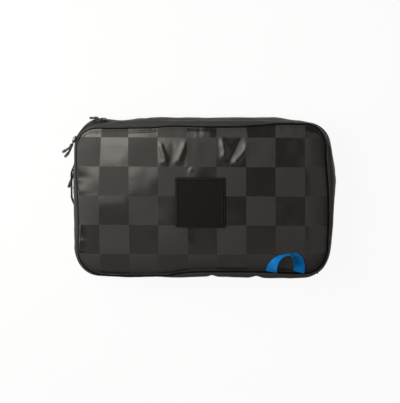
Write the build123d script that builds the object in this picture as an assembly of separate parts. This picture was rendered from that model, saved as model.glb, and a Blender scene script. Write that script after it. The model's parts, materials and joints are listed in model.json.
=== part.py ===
"""A zipped paddle case, lying on its back: millimetres, +Z up, origin at the centre of the back panel's face.

X runs along the case, Y from the hinge side to the zipped side, Z from the back to the front.
Every wall is placed by d, its distance outside the seam line that both flat panels share, and by z.
The back half is a tray, the front half a lid that turns on a fabric hinge along the -Y side, and a
coil zipper closes the other three sides. A second, straight zipper on the -X end closes a small pocket.
"""

import os
from math import asin, atan2, cos, degrees, pi, radians, sin, sqrt

from build123d import *

# Outline: the seam line of the front and back panels
SEAM_W = 432.0
SEAM_H = 252.0
SEAM_R = 40.0
WALL = 8.0  # how far the side walls stand outside the seam line

# Heights
FRONT_SEAM_Z = 71.0
FRONT_SHOULDER_Z = 55.0  # where the upright wall starts to curve in to the front seam
REAR_SHOULDER_Z = 13.0
REAR_SEAM_Z = 2.6
MAIN_ZIP_Z = 48.5
POCKET_ZIP_Z = 18.5
CROWN = 4.2  # the front panel's rise from its seam to its flat middle
CROWN_RUN = 34.0  # the width of that rising border

# Cloth, padding and trim
FABRIC_T = 1.2
PANEL_T = 1.4
LINING_T = 0.8
TAPE_T = 0.8
FOAM_T = 4.5
PIPING_R = 1.6
PLY_GAP = 0.2  # between layers of cloth
SEAM_TUCK = 2.5  # the walls' ends stop this far outside the seam line
PANEL_TUCK = 1.8  # and the panels' edges this far inside it
LINING_INSET = 5.0  # the linings' upright walls run this far inside the side walls' outer face
LINING_FLARE_FRONT = (12.0, 9.0)  # from the chain to where the lining leaves its wall and meets the tape
LINING_FLARE_REAR = (14.0, 11.0)
FRONT_PAD_DEPTH = 5.0  # the front padding's flat underside lies this far below the seam
FOAM_INSET = 5.0

# Coil zippers
COIL_ROW = 2.3  # width of one row of coil
COIL_T = 2.35
COIL_GAP = 0.7  # from the chain's centre line to each row: room for the sliders' necks
COIL_PITCH = 5.0
COIL_GROOVE = 1.1
COIL_GROOVE_W = 1.7
TAPE_EDGE = 0.9  # from the chain's centre line to each tape
TAPE_W = 11.0
SLOT_HALF = 5.2  # half the slot between the cloth edges that a chain lies in
MAIN_ZIP_END_DEG = 62.0  # each end of the main zipper lies this far round its hinge-side corner
POCKET_ZIP_ENDS = (52.0, 60.0)  # from the seams to the pocket zipper's lower and upper end
STOP_L = 3.0

# Sliders
SLIDER_L = 14.0
SLIDER_W = 9.2
SLIDER_TAPER = 0.8
PLATE_T = 1.2
INNER_PLATE_T = 0.8
SLIDER_GAP = 0.3  # running clearance on the chain
INNER_PLATE_GAP = 0.9  # a straight plate has to pass along a bent tape at the corner
NECK_T = 0.8
NECK_L = 3.0
BRIDGE_L = 9.2
BRIDGE_W = 2.6
BRIDGE_T = 1.0
BRIDGE_OPEN = 1.9

# Pulls: a wire link in the slider's bridge, and a knotted cord with two tails
LINK_PITCH = 8.4
LINK_W = 7.2
LINK_BAR = 1.2
LINK_T = 1.1
PIVOT_BACK = 2.4  # the link hangs this far behind the slider's middle
KNOT_PAST_BAR = 1.2
KNOT_LONG = 9.2
KNOT_THICK = 6.0
KNOT_WIDE = 8.8
KNOT_ROUND = 2.6
KNOT_GRIP = 0.2
CORD_D = 4.0

# Where the sliders rest
TOP_SLIDER_PAST_CORNER = 3.0  # from where the corner's arc ends
CORNER_SLIDER_DEG = 18.0  # up the corner's arc from the -X end wall
POCKET_SLIDER_DOWN = 11.0  # from the zipper's upper end
TOP_PULL_DEG = 6.0  # each link's lift away from the wall
CORNER_PULL_DEG = 6.0
POCKET_PULL_DEG = 8.0

# Badge patch, webbing loop and side handle
PATCH = 87.0
PATCH_CENTRE = (-3.0, -4.0)
PATCH_T = 2.0
PATCH_BORDER_INSET = 3.2
PATCH_BORDER_W = 1.8
PATCH_BORDER_H = 0.5
LOOP_WEB_W = 19.4
LOOP_WEB_T = 1.4
LOOP_SPAN = 47.2
LOOP_RISE = 31.0
LOOP_LEAN = 7.0
LOOP_FROM_END = 73.0
LOOP_FROM_EDGE = 1.2
LOOP_CLEAR = 0.5
HANDLE_WEB_W = 16.0
HANDLE_WEB_T = 1.5
HANDLE_Z = 33.5
HANDLE_CENTRE_Y = 25.0
HANDLE_FLAT_L = 14.0
HANDLE_RISE_L = 20.0
HANDLE_TOP_L = 42.0
HANDLE_BOW = 5.0
HANDLE_BEND_R = 50.0

# The pocket's flat pouch, which lies empty between the back padding and the lining
POUCH_L = 140.0
POUCH_T = 1.0

# The lid's hinge line lies just outside the cloth, so that the halves fold flat outwards
HINGE_GAP = 0.2

SEAM_X = SEAM_W / 2
SEAM_Y = SEAM_H / 2
TAPE_OUT = WALL - FABRIC_T - PLY_GAP
TAPE_IN = TAPE_OUT - TAPE_T
COIL_IN = TAPE_OUT + 0.05
COIL_OUT = COIL_IN + COIL_T
PLATE_IN = COIL_OUT + SLIDER_GAP
PLATE_OUT = PLATE_IN + PLATE_T
INNER_PLATE_OUT = TAPE_IN - INNER_PLATE_GAP
PIVOT_D = PLATE_OUT + BRIDGE_OPEN / 2
FRONT_TOP_Z = FRONT_SEAM_Z + 0.4 + CROWN
FRONT_FOAM_Z = FRONT_SEAM_Z - FRONT_PAD_DEPTH
REAR_FOAM_Z = PANEL_T + PLY_GAP
POUCH_Z = REAR_FOAM_Z + FOAM_T + PLY_GAP
REAR_LINING_Z = POUCH_Z + POUCH_T + PLY_GAP
CORNER_AXIS = Vector(SEAM_R - SEAM_X, SEAM_Y - SEAM_R)
TOP_SLIDER_X = CORNER_AXIS.X + TOP_SLIDER_PAST_CORNER
POCKET_ZIP_Y = (POCKET_ZIP_ENDS[0] - SEAM_Y, SEAM_Y - POCKET_ZIP_ENDS[1])
POCKET_SLIDER_Y = POCKET_ZIP_Y[1] - POCKET_SLIDER_DOWN
LOOP_CENTRE_X = SEAM_X - LOOP_FROM_END


def outline(d):
    """The rounded rectangle that lies d outside the seam line."""
    return RectangleRounded(SEAM_W + 2 * d, SEAM_H + 2 * d, SEAM_R + d)


def plate(d, z0, z1):
    return Pos(0, 0, z0) * extrude(outline(d), z1 - z0)


def ring(d0, d1, z0, z1):
    return Pos(0, 0, z0) * extrude(outline(d1) - outline(d0), z1 - z0)


def span(x0, x1, y0, y1, z0, z1):
    """A box between two corners."""
    return Pos((x0 + x1) / 2, (y0 + y1) / 2, (z0 + z1) / 2) * Box(x1 - x0, y1 - y0, z1 - z0)


def seam_path():
    """The seam line as a closed wire that starts in the middle of the +X end."""
    x, y, r = SEAM_X, SEAM_Y, SEAM_R
    edges = [Line((x, 0), (x, y - r)), CenterArc((x - r, y - r), r, 0, 90)]
    edges += [Line((x - r, y), (r - x, y)), CenterArc((r - x, y - r), r, 90, 90)]
    edges += [Line((-x, y - r), (-x, r - y)), CenterArc((r - x, r - y), r, 180, 90)]
    edges += [Line((r - x, -y), (x - r, -y)), CenterArc((x - r, r - y), r, 270, 90)]
    edges += [Line((x, r - y), (x, 0))]
    return Wire(edges)


def around(section):
    """Sweeps a section, drawn with x as d and y as z, round the seam line."""
    at_start = Plane(origin=(SEAM_X, 0, 0), x_dir=(1, 0, 0), z_dir=(0, -1, 0))
    return sweep(at_start * section.face(), path=seam_path())


def wall_section(z_edge, z_shoulder, z_seam):
    """A side wall: upright from z_edge to z_shoulder, then an arc in to the seam."""
    run, rise = WALL - SEAM_TUCK, z_seam - z_shoulder
    radius = (run**2 + rise**2) / (2 * run)
    turn = degrees(asin(rise / radius))
    centre = (WALL - radius, z_shoulder)
    outer = CenterArc(centre, radius, 0, turn)
    inner = CenterArc(centre, radius - FABRIC_T, 0, turn)
    edges = [Line((WALL, z_edge), (WALL, z_shoulder)), outer, Line(outer @ 1, inner @ 1), inner]
    edges += [Line((WALL - FABRIC_T, z_shoulder), (WALL - FABRIC_T, z_edge))]
    edges += [Line((WALL - FABRIC_T, z_edge), (WALL, z_edge))]
    return make_face(edges)


def crown_radius():
    run = CROWN_RUN - PANEL_TUCK
    return (run**2 + CROWN**2) / (2 * CROWN)


def crown_z(d):
    """The height of the front panel's face at d."""
    inward = max(0.0, CROWN_RUN + d)
    return FRONT_TOP_Z - crown_radius() + sqrt(crown_radius() ** 2 - inward**2)


def crowned(edge, top_drop, bottom_drop=None, bottom_z=None):
    """A slab under the front panel's crown: its top lies top_drop below the panel's face."""
    radius, centre = crown_radius(), (-CROWN_RUN, FRONT_TOP_Z - crown_radius())
    top_turn = degrees(asin((CROWN_RUN - edge) / radius))
    top = CenterArc(centre, radius - top_drop, 90 - top_turn, top_turn)
    if bottom_z is None:
        bottom = CenterArc(centre, radius - bottom_drop, 90 - top_turn, top_turn)
        middle_z = FRONT_TOP_Z - bottom_drop
    else:
        bottom = Line(((top @ 0).X, bottom_z), (-CROWN_RUN, bottom_z))
        middle_z = bottom_z
    sides = [Line(top @ 1, bottom @ 1), Line(bottom @ 0, top @ 0)]
    border = around(make_face([top, bottom] + sides))
    return border + plate(-CROWN_RUN, middle_z, FRONT_TOP_Z - top_drop)


def lining_tray(z_floor, z_bend, z_flare, z_rim):
    """A thin tray: a flat floor, upright walls, and a rim that flares out to the zipper tape."""
    wall_d, rim_d = WALL - LINING_INSET, TAPE_IN - PLY_GAP - LINING_T / 2
    points = [(-3 * LINING_INSET, z_floor), (wall_d, z_floor), (wall_d, z_bend), (rim_d, z_flare), (rim_d, z_rim)]
    route = FilletPolyline(*points, radius=(4.0, 2.0, 2.0))
    floor = plate(-3 * LINING_INSET, z_floor - LINING_T / 2, z_floor + LINING_T / 2)
    return around(trace(route, LINING_T)) + floor


def chain_rows(d_in, d_out, z_chain, region):
    """The two ribbed rows of a coil chain, lower row first, cut to a region of the plan."""
    path = outline(d_out).wire()
    count = round(path.length / COIL_PITCH)
    grooves = []
    for i in range(count):
        place, along = path @ (i / count), path % (i / count)
        turn = degrees(atan2(along.Y, along.X))
        grooves.append(Pos(place.X, place.Y) * Rot(0, 0, turn) * Rectangle(COIL_GROOVE_W, 2 * COIL_GROOVE))
    plan = ((outline(d_out) - outline(d_in)) & region) - grooves
    row = extrude(plan, COIL_ROW)
    return [Pos(0, 0, z_chain - COIL_GAP - COIL_ROW) * row, Pos(0, 0, z_chain + COIL_GAP) * row]


def corner_wedge(side, start, end):
    """A wedge of the plan about a hinge-side corner's centre, between two turns from the end wall."""
    far = SEAM_H
    points = [(side * hinge_corner.X, hinge_corner.Y)]
    for turn in (start, (start + end) / 2, end):
        reach = (far * cos(radians(turn)), far * sin(radians(turn)))
        points.append((side * (hinge_corner.X + reach[0]), hinge_corner.Y - reach[1]))
    return make_face(Polyline(*points, close=True))


def slider():
    """A slider on the +Y wall: x along the chain, y is d, z from the chain's middle."""
    tail_w = SLIDER_W - 2 * SLIDER_TAPER
    half = SLIDER_L / 2
    corners = [(-half, -tail_w / 2), (half * 0.3, -SLIDER_W / 2), (half, -tail_w / 2)]
    corners += [(half, tail_w / 2), (half * 0.3, SLIDER_W / 2), (-half, tail_w / 2)]
    face = make_face(Polyline(*corners, close=True))
    face = fillet(face.vertices(), 1.4)
    upright = Plane(origin=(0, 0, 0), x_dir=(1, 0, 0), z_dir=(0, 1, 0))
    shield = extrude(upright * face, PLATE_T)
    outer = Pos(0, PLATE_IN, 0) * shield
    inner = Pos(0, INNER_PLATE_OUT - INNER_PLATE_T, 0) * extrude(upright * face, INNER_PLATE_T)
    neck_x = half - 1.4 - NECK_L
    neck = span(neck_x, neck_x + NECK_L, INNER_PLATE_OUT - 0.1, PLATE_IN + 0.1, -NECK_T / 2, NECK_T / 2)
    flange_z = -COIL_GAP - COIL_ROW - SLIDER_GAP
    flange = span(-half + 2, half * 0.3, TAPE_OUT + SLIDER_GAP, PLATE_IN + 0.1, -tail_w / 2, flange_z)
    arch = Polyline(
        (-BRIDGE_L / 2 + BRIDGE_T / 2, PLATE_OUT - 0.1),
        (-BRIDGE_L / 2 + BRIDGE_T / 2, PLATE_OUT + BRIDGE_OPEN + BRIDGE_T / 2),
        (BRIDGE_L / 2 - BRIDGE_T / 2, PLATE_OUT + BRIDGE_OPEN + BRIDGE_T / 2),
        (BRIDGE_L / 2 - BRIDGE_T / 2, PLATE_OUT - 0.1),
    )
    bridge = Pos(0, 0, -BRIDGE_W / 2) * extrude(trace(arch, BRIDGE_T), BRIDGE_W)
    top_edges = bridge.edges().filter_by(Axis.Z).group_by(Axis.Y)[-1]
    return outer + inner + neck + flange + fillet(top_edges, 0.9)


def link(lift):
    """The wire link: a slotted ring that hangs from the bridge towards -x, lifted off the wall."""
    ring_l = LINK_PITCH + LINK_BAR
    shape = RectangleRounded(ring_l, LINK_W, 1.5) - RectangleRounded(ring_l - 2 * LINK_BAR, LINK_W - 2 * LINK_BAR, 0.8)
    upright = Plane(origin=(0, -LINK_T / 2, 0), x_dir=(1, 0, 0), z_dir=(0, 1, 0))
    bar = Pos(-LINK_PITCH / 2, 0, 0) * extrude(upright * shape, LINK_T)
    return Pos(-PIVOT_BACK, PIVOT_D, 0) * Rot(0, 0, -lift) * bar


def knot(lift):
    """The cord's knot, tied round the link's far bar: a lump with the link's own slot in it."""
    centre = -LINK_PITCH - KNOT_PAST_BAR
    block = Box(KNOT_LONG, KNOT_THICK, KNOT_WIDE)
    lump = Pos(centre, 0, 0) * fillet(block.edges(), KNOT_ROUND)
    ring_l = LINK_PITCH + LINK_BAR + 2 * KNOT_GRIP
    wide = LINK_W + 2 * KNOT_GRIP
    bar = LINK_BAR + 2 * KNOT_GRIP
    shape = Rectangle(ring_l, wide) - Rectangle(ring_l - 2 * bar, wide - 2 * bar)
    thick = LINK_T + 2 * KNOT_GRIP
    upright = Plane(origin=(0, -thick / 2, 0), x_dir=(1, 0, 0), z_dir=(0, 1, 0))
    slot = Pos(-LINK_PITCH / 2, 0, 0) * extrude(upright * shape, thick)
    return Pos(-PIVOT_BACK, PIVOT_D, 0) * Rot(0, 0, -lift) * (lump - slot)


def knot_centre(place, lift):
    """Where a knot's middle comes to lie, once its slider is placed."""
    reach = LINK_PITCH + KNOT_PAST_BAR
    local = (-PIVOT_BACK - reach * cos(radians(lift)), PIVOT_D + reach * sin(radians(lift)), 0)
    return (place * Pos(*local)).position


def cord_tail(name, start, offsets):
    """A cord tail: a round tube along straight runs joined by the largest arcs that they allow."""
    points = [start + Vector(*p) for p in offsets]
    radii = []
    for a, b, c in zip(points, points[1:], points[2:]):
        turn = radians((b - a).get_angle(c - b))
        radii.append(0.45 * min((b - a).length, (c - b).length) / (sin(turn / 2) / cos(turn / 2)))
    path = FilletPolyline(*points, radius=tuple(radii))
    tube = sweep(Plane(origin=path @ 0, z_dir=path % 0) * Circle(CORD_D / 2), path=path)
    expected = pi * CORD_D**2 / 4 * path.length
    print(name, "radii", [round(r, 1) for r in radii], "length", round(path.length, 1),
          "volume share", round(tube.volume / expected, 4))
    return tube


def badge_patch():
    """A bare square of moulded rubber with a raised border line."""
    base = extrude(RectangleRounded(PATCH, PATCH, 1.5), PATCH_T)
    out = PATCH - 2 * PATCH_BORDER_INSET
    line = RectangleRounded(out, out, 1.5) - RectangleRounded(out - 2 * PATCH_BORDER_W, out - 2 * PATCH_BORDER_W, 1.0)
    border = Pos(0, 0, PATCH_T) * extrude(line, PATCH_BORDER_H)
    return Pos(*PATCH_CENTRE, FRONT_TOP_Z + PLY_GAP / 2) * (base + border)


def loop_frame(t):
    """The webbing loop's middle line and its width direction at t, from 0 to half a turn."""
    def middle(u):
        x = LOOP_CENTRE_X - LOOP_SPAN / 2 * cos(u) + LOOP_LEAN * sin(u)
        y = -SEAM_Y + PANEL_TUCK + LOOP_FROM_EDGE + LOOP_RISE * sin(u)
        tilt = pi / 2 * sin(u)
        outer_y = y + LOOP_WEB_W / 2 * cos(tilt) * sin(u)
        low = crown_z(-SEAM_Y - outer_y) + LOOP_CLEAR + LOOP_WEB_T / 2
        return Vector(x, y, low + LOOP_WEB_W / 2 * sin(tilt))

    step = 1e-3
    along = (middle(t + step) - middle(t - step)).normalized()
    flat_out = Vector(-along.Y, along.X, 0).normalized()
    tilt = pi / 2 * sin(t)
    width = flat_out * cos(tilt) - Vector(0, 0, 1) * sin(tilt)
    width = (width - along * width.dot(along)).normalized()
    return middle(t), along, width


def webbing_loop():
    """Flat webbing with both ends sewn in the front seam, standing on edge at the top of its arch."""
    sections = []
    stations = 12
    for i in range(stations + 1):
        place, along, width = loop_frame(pi * i / stations)
        sections.append(Plane(origin=place, x_dir=width, z_dir=along) * Rectangle(LOOP_WEB_W, LOOP_WEB_T))
    return loft(sections)


def side_handle():
    """A webbing grab handle, sewn flat to the -X end at both ends and bowed out between."""
    x_flat = -SEAM_X - WALL - PLY_GAP / 2 - HANDLE_WEB_T / 2
    half = HANDLE_TOP_L / 2
    rise = half + HANDLE_RISE_L
    end = rise + HANDLE_FLAT_L
    points = [(x_flat, end), (x_flat, rise), (x_flat - HANDLE_BOW, half)]
    points += [(x, -y) for x, y in reversed(points)]
    route = FilletPolyline(*points, radius=HANDLE_BEND_R)
    web = extrude(trace(route, HANDLE_WEB_T), HANDLE_WEB_W)
    return Pos(0, HANDLE_CENTRE_Y, HANDLE_Z - HANDLE_WEB_W / 2) * web


def stop(place, z0, z1):
    """A crimped metal stop over a chain's end, on a wall whose outward side is +y."""
    block = span(-STOP_L / 2, STOP_L / 2, TAPE_OUT + 0.05, COIL_OUT + 0.5, z0, z1)
    return place * block


parts = {}

# Front half
parts["front_panel"] = crowned(PANEL_TUCK, 0.0, bottom_drop=PANEL_T)
parts["front_foam"] = crowned(PANEL_TUCK + FOAM_INSET, PANEL_T + PLY_GAP, bottom_z=FRONT_FOAM_Z)
parts["front_lining"] = lining_tray(
    FRONT_FOAM_Z - PLY_GAP - LINING_T / 2, MAIN_ZIP_Z + LINING_FLARE_FRONT[0],
    MAIN_ZIP_Z + LINING_FLARE_FRONT[1], MAIN_ZIP_Z + SLOT_HALF + 1,
)
parts["front_gusset"] = around(wall_section(MAIN_ZIP_Z + SLOT_HALF, FRONT_SHOULDER_Z, FRONT_SEAM_Z))
parts["front_piping"] = around(Pos(0, FRONT_SEAM_Z) * Circle(PIPING_R))
parts["badge_patch"] = badge_patch()
parts["webbing_loop"] = webbing_loop()

# Back half
parts["rear_panel"] = plate(-PANEL_TUCK, 0, PANEL_T)
parts["rear_foam"] = plate(-PANEL_TUCK - FOAM_INSET, REAR_FOAM_Z, REAR_FOAM_Z + FOAM_T)
parts["rear_lining"] = lining_tray(
    REAR_LINING_Z + LINING_T / 2, MAIN_ZIP_Z - LINING_FLARE_REAR[0],
    MAIN_ZIP_Z - LINING_FLARE_REAR[1], MAIN_ZIP_Z - SLOT_HALF - 1,
)
parts["rear_piping"] = around(Pos(0, REAR_SEAM_Z - 0.4) * Circle(PIPING_R))
pocket_slot = span(
    -SEAM_X - 2 * WALL, -SEAM_X, POCKET_ZIP_Y[0] - STOP_L - 1, POCKET_ZIP_Y[1] + STOP_L + 1,
    POCKET_ZIP_Z - SLOT_HALF, POCKET_ZIP_Z + SLOT_HALF,
)
rear_wall = around(wall_section(MAIN_ZIP_Z - SLOT_HALF, REAR_SHOULDER_Z, REAR_SEAM_Z))
parts["rear_gusset"] = rear_wall - pocket_slot
parts["side_handle"] = side_handle()
pouch_x = -SEAM_X + FOAM_INSET + 2
parts["pocket_pouch"] = span(
    pouch_x, pouch_x + POUCH_L, POCKET_ZIP_Y[0], POCKET_ZIP_Y[1], POUCH_Z, POUCH_Z + POUCH_T
)

# Main zipper: three sides of the case, and most of the way round the hinge-side corners
hinge_corner = Vector(SEAM_X - SEAM_R, SEAM_R - SEAM_Y)
zipped = Pos(0, hinge_corner.Y + SEAM_H) * Rectangle(2 * SEAM_W, 2 * SEAM_H)
for side in (-1, 1):
    zipped += corner_wedge(side, 0.0, MAIN_ZIP_END_DEG)
zipped_space = extrude(zipped, FRONT_TOP_Z)
tape_low = MAIN_ZIP_Z - TAPE_EDGE
parts["main_tape_rear"] = ring(TAPE_IN, TAPE_OUT, tape_low - TAPE_W, tape_low) & zipped_space
tape_high = MAIN_ZIP_Z + TAPE_EDGE
parts["main_tape_front"] = ring(TAPE_IN, TAPE_OUT, tape_high, FRONT_SHOULDER_Z + 2) & zipped_space
rows = chain_rows(COIL_IN, COIL_OUT, MAIN_ZIP_Z, zipped)
parts["main_coil_rear"], parts["main_coil_front"] = rows

# Fabric hinge: it fills the zipper's slot on the fourth side
stop_turn = degrees((STOP_L + 1) / (SEAM_R + WALL))
hinged = Pos(0, hinge_corner.Y - SEAM_H / 2) * Rectangle(2 * hinge_corner.X, SEAM_H)
for side in (-1, 1):
    hinged += corner_wedge(side, MAIN_ZIP_END_DEG + stop_turn, 90.0)
hinged_space = extrude(hinged, FRONT_TOP_Z)
hinge_band = [MAIN_ZIP_Z - SLOT_HALF, MAIN_ZIP_Z - HINGE_GAP, MAIN_ZIP_Z + HINGE_GAP, MAIN_ZIP_Z + SLOT_HALF]
parts["hinge_strip_rear"] = ring(WALL - FABRIC_T, WALL, hinge_band[0], hinge_band[1]) & hinged_space
parts["hinge_strip_front"] = ring(WALL - FABRIC_T, WALL, hinge_band[2], hinge_band[3]) & hinged_space

# Pocket zipper, straight, on the -X end
pocket_run = Pos(-SEAM_X, sum(POCKET_ZIP_Y) / 2) * Rectangle(4 * WALL, POCKET_ZIP_Y[1] - POCKET_ZIP_Y[0])
pocket_space = extrude(pocket_run, FRONT_TOP_Z)
low_tape = ring(TAPE_IN, TAPE_OUT, REAR_SHOULDER_Z - 1.5, POCKET_ZIP_Z - TAPE_EDGE) & pocket_space
high_tape = ring(TAPE_IN, TAPE_OUT, POCKET_ZIP_Z + TAPE_EDGE, POCKET_ZIP_Z + TAPE_W - 2) & pocket_space
parts["pocket_tapes"] = Compound([low_tape.solid(), high_tape.solid()])
pocket_rows = chain_rows(COIL_IN, COIL_OUT, POCKET_ZIP_Z, pocket_run)
parts["pocket_coils"] = Compound([row.solid() for row in pocket_rows])

# Stops at the chains' ends: the main zipper's hold the rear row alone, so that the lid lifts clear
left = Rot(0, 0, 90)
row_low = -COIL_GAP - COIL_ROW
end_turn = MAIN_ZIP_END_DEG + degrees((STOP_L / 2 + 0.3) / (SEAM_R + WALL))
stops = [
    stop(
        Pos(side * hinge_corner.X, hinge_corner.Y, MAIN_ZIP_Z) * Rot(0, 0, -side * (90 + end_turn))
        * Pos(0, SEAM_R, 0), row_low, -COIL_GAP,
    )
    for side in (-1, 1)
]
for end, way in ((POCKET_ZIP_Y[0], -1), (POCKET_ZIP_Y[1], 1)):
    place = Pos(-SEAM_X, end + way * (STOP_L / 2 + 0.1), POCKET_ZIP_Z) * left
    stops.append(stop(place, row_low, -row_low))
parts["zip_stops"] = Compound([s.solid() for s in stops])

# Sliders and their pulls
corner_turn = 90 - CORNER_SLIDER_DEG
sliders = {
    "top": (Pos(TOP_SLIDER_X, SEAM_Y, MAIN_ZIP_Z), TOP_PULL_DEG),
    "corner": (
        Pos(CORNER_AXIS.X, CORNER_AXIS.Y, MAIN_ZIP_Z) * Rot(0, 0, corner_turn) * Pos(0, SEAM_R, 0),
        CORNER_PULL_DEG,
    ),
    "pocket": (Pos(-SEAM_X, POCKET_SLIDER_Y, POCKET_ZIP_Z) * left, POCKET_PULL_DEG),
}
# Each tail's route, from its knot's middle
tails = {
    "top": [
        [(-3.2, 0.4, 1.4), (-10.0, 0.7, -2.2), (-12.6, -0.4, -9.6), (-12.4, -1.6, -17.2), (-10.6, -2.0, -24.6)],
        [(-2.4, -0.4, -3.0), (-6.4, -0.9, -9.4), (-7.2, -1.4, -17.0), (-5.6, -1.8, -24.4), (-3.0, -2.0, -31.4)],
    ],
    "corner": [
        [(-1.8, -2.8, 2.2), (-7.6, -6.8, -0.4), (-12.2, -9.8, -5.4), (-15.2, -11.6, -12.0), (-16.8, -13.0, -19.2)],
        [(-0.6, -3.2, -2.2), (-3.6, -9.6, -4.9), (-7.2, -14.8, -8.8), (-10.8, -18.6, -14.0), (-13.4, -21.0, -20.6)],
    ],
    "pocket": [
        [(-0.9, -3.2, 2.3), (-3.2, -10.2, 1.8), (-6.0, -17.0, -0.2), (-8.8, -23.2, -3.6), (-11.2, -28.8, -8.0)],
        [(0.4, -3.2, -2.2), (0.8, -10.6, -3.4), (0.6, -18.0, -5.0), (-0.4, -25.2, -7.2), (-1.8, -32.2, -10.0)],
    ],
}
for name, (place, lift) in sliders.items():
    parts[f"{name}_slider"] = place * slider()
    parts[f"{name}_link"] = place * link(lift)
    parts[f"{name}_knot"] = place * knot(lift)
    for label, offsets in zip("ab", tails[name]):
        node = f"{name}_tail_{label}"
        parts[node] = cord_tail(node, knot_centre(place, lift), offsets)

os.makedirs("parts", exist_ok=True)
for node, shape in parts.items():
    export_step(shape, f"parts/{node}.step")
print("nodes", len(parts))
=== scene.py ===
"""Looks for the zipped paddle case: soft walls, printed cloth, coil zippers, cord pulls and webbing on the CAD frame.

Metres, in the part's own frame: the case lies on its back, +Z up, X along it, Y from the hinge side to the zipped side.
Walls are built from d, the distance outside the front seam line, and z. s runs along that line, anticlockwise from +X.
"""

import json
import math

import bmesh
import bpy
import numpy as np
from mathutils import Matrix, Vector


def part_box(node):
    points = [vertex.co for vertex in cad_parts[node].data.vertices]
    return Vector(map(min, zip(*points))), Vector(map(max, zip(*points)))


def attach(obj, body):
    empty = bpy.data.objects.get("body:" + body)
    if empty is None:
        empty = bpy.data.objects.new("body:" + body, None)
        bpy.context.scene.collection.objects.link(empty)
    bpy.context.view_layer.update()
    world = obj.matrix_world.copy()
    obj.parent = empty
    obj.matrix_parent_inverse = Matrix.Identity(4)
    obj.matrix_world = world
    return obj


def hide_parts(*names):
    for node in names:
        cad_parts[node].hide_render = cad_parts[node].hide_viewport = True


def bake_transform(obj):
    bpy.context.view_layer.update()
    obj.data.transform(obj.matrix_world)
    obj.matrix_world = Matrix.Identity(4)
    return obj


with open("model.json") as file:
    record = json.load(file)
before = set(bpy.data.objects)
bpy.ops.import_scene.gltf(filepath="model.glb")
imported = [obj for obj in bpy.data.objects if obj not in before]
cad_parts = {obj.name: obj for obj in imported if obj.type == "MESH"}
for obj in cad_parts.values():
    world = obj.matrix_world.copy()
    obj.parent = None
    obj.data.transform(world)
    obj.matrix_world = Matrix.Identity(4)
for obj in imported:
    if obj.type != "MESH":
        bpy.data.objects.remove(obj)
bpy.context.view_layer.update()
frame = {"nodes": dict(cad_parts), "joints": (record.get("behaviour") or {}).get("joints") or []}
bpy.context.scene.view_settings.view_transform = "Standard"
MM = 0.001

# ---- sizes, read from the frame
LO, HI = 0, 1
pipe, back_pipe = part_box("front_piping"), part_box("rear_piping")
low_coil, high_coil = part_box("main_coil_rear"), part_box("main_coil_front")
pocket_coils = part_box("pocket_coils")
PIPE_R = (pipe[HI].z - pipe[LO].z) / 2
SEAM_X = pipe[HI].x - PIPE_R
SEAM_Y = pipe[HI].y - PIPE_R
SEAM_Z = (pipe[HI].z + pipe[LO].z) / 2
BACK_SEAM_Z = (back_pipe[HI].z + back_pipe[LO].z) / 2
SEAM_R = 0.040
FRONT_EDGE_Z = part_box("front_gusset")[LO].z
BACK_EDGE_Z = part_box("rear_gusset")[HI].z
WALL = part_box("front_gusset")[HI].x - SEAM_X
ZIP_Z = (low_coil[HI].z + high_coil[LO].z) / 2
ROW_TOP = high_coil[HI].z - ZIP_Z
COIL_OUT = low_coil[HI].x - SEAM_X
TAPE_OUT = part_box("main_tape_rear")[HI].x - SEAM_X
TAPE_T = 0.0008
PANEL_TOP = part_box("front_panel")[HI].z
POCKET_Z = (pocket_coils[LO].z + pocket_coils[HI].z) / 2
POCKET_Y = (pocket_coils[LO].y, pocket_coils[HI].y)
SLOT_HALF = FRONT_EDGE_Z - ZIP_Z
ZIP_END_DEG = 62.0
HINGE = next(j for j in frame["joints"] if j["name"] == "lid_hinge")
HINGE_Y, HINGE_Z = HINGE["pos_m"][1], HINGE["pos_m"][2]


# ---- the seam line
def seam_table():
    """Samples along the seam: arc length, x, y, and the outward normal's angle."""
    x, y, r = SEAM_X, SEAM_Y, SEAM_R
    # A straight run is its two ends and its angle, a corner its centre and first angle
    runs = [
        ((x, 0), (x, y - r), 0), ((x - r, y - r), 0),
        ((x - r, y), (r - x, y), 90), ((r - x, y - r), 90),
        ((-x, y - r), (-x, r - y), 180), ((r - x, r - y), 180),
        ((r - x, -y), (x - r, -y), 270), ((x - r, r - y), 270),
        ((x, r - y), (x, 0), 360),
    ]
    rows, s = [], 0.0
    for *points, turn in runs:
        corner = len(points) == 1
        (px, py), (qx, qy) = points[0], points[-1]
        f = np.linspace(0, 1, 90 if corner else 60)
        angle = np.radians(turn + 90 * f * corner)
        length = r * math.pi / 2 if corner else math.hypot(qx - px, qy - py)
        x_run, y_run = px + (qx - px) * f, py + (qy - py) * f
        rows.append([s + length * f, x_run + r * corner * np.cos(angle), y_run + r * corner * np.sin(angle), angle])
        s += length
    return np.hstack(rows), s


(TAB_S, TAB_X, TAB_Y, TAB_A), PERIM = seam_table()


def seam_at(s):
    """The seam's x and y, and its outward normal's, at s."""
    s = np.mod(np.asarray(s, float), PERIM)
    angle = np.interp(s, TAB_S, TAB_A)
    return np.interp(s, TAB_S, TAB_X), np.interp(s, TAB_S, TAB_Y), np.cos(angle), np.sin(angle)


def seam_s_of(x, y):
    """Arc length of the seam point nearest to each (x, y)."""
    out = np.empty(len(x))
    block = 4000
    for i in range(0, len(x), block):
        dx, dy = x[i:i + block, None] - TAB_X, y[i:i + block, None] - TAB_Y
        out[i:i + block] = TAB_S[np.argmin(dx * dx + dy * dy, 1)]
    return out


def near(x, y):
    """The same for one point."""
    return float(seam_s_of(np.array([x]), np.array([y]))[0])


def around(s, d, z):
    """Points outside the seam line at s, by d, at the height z."""
    x, y, nx, ny = seam_at(s)
    return np.stack([x + nx * d, y + ny * d, np.broadcast_to(z, np.shape(x + d))], -1)


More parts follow.
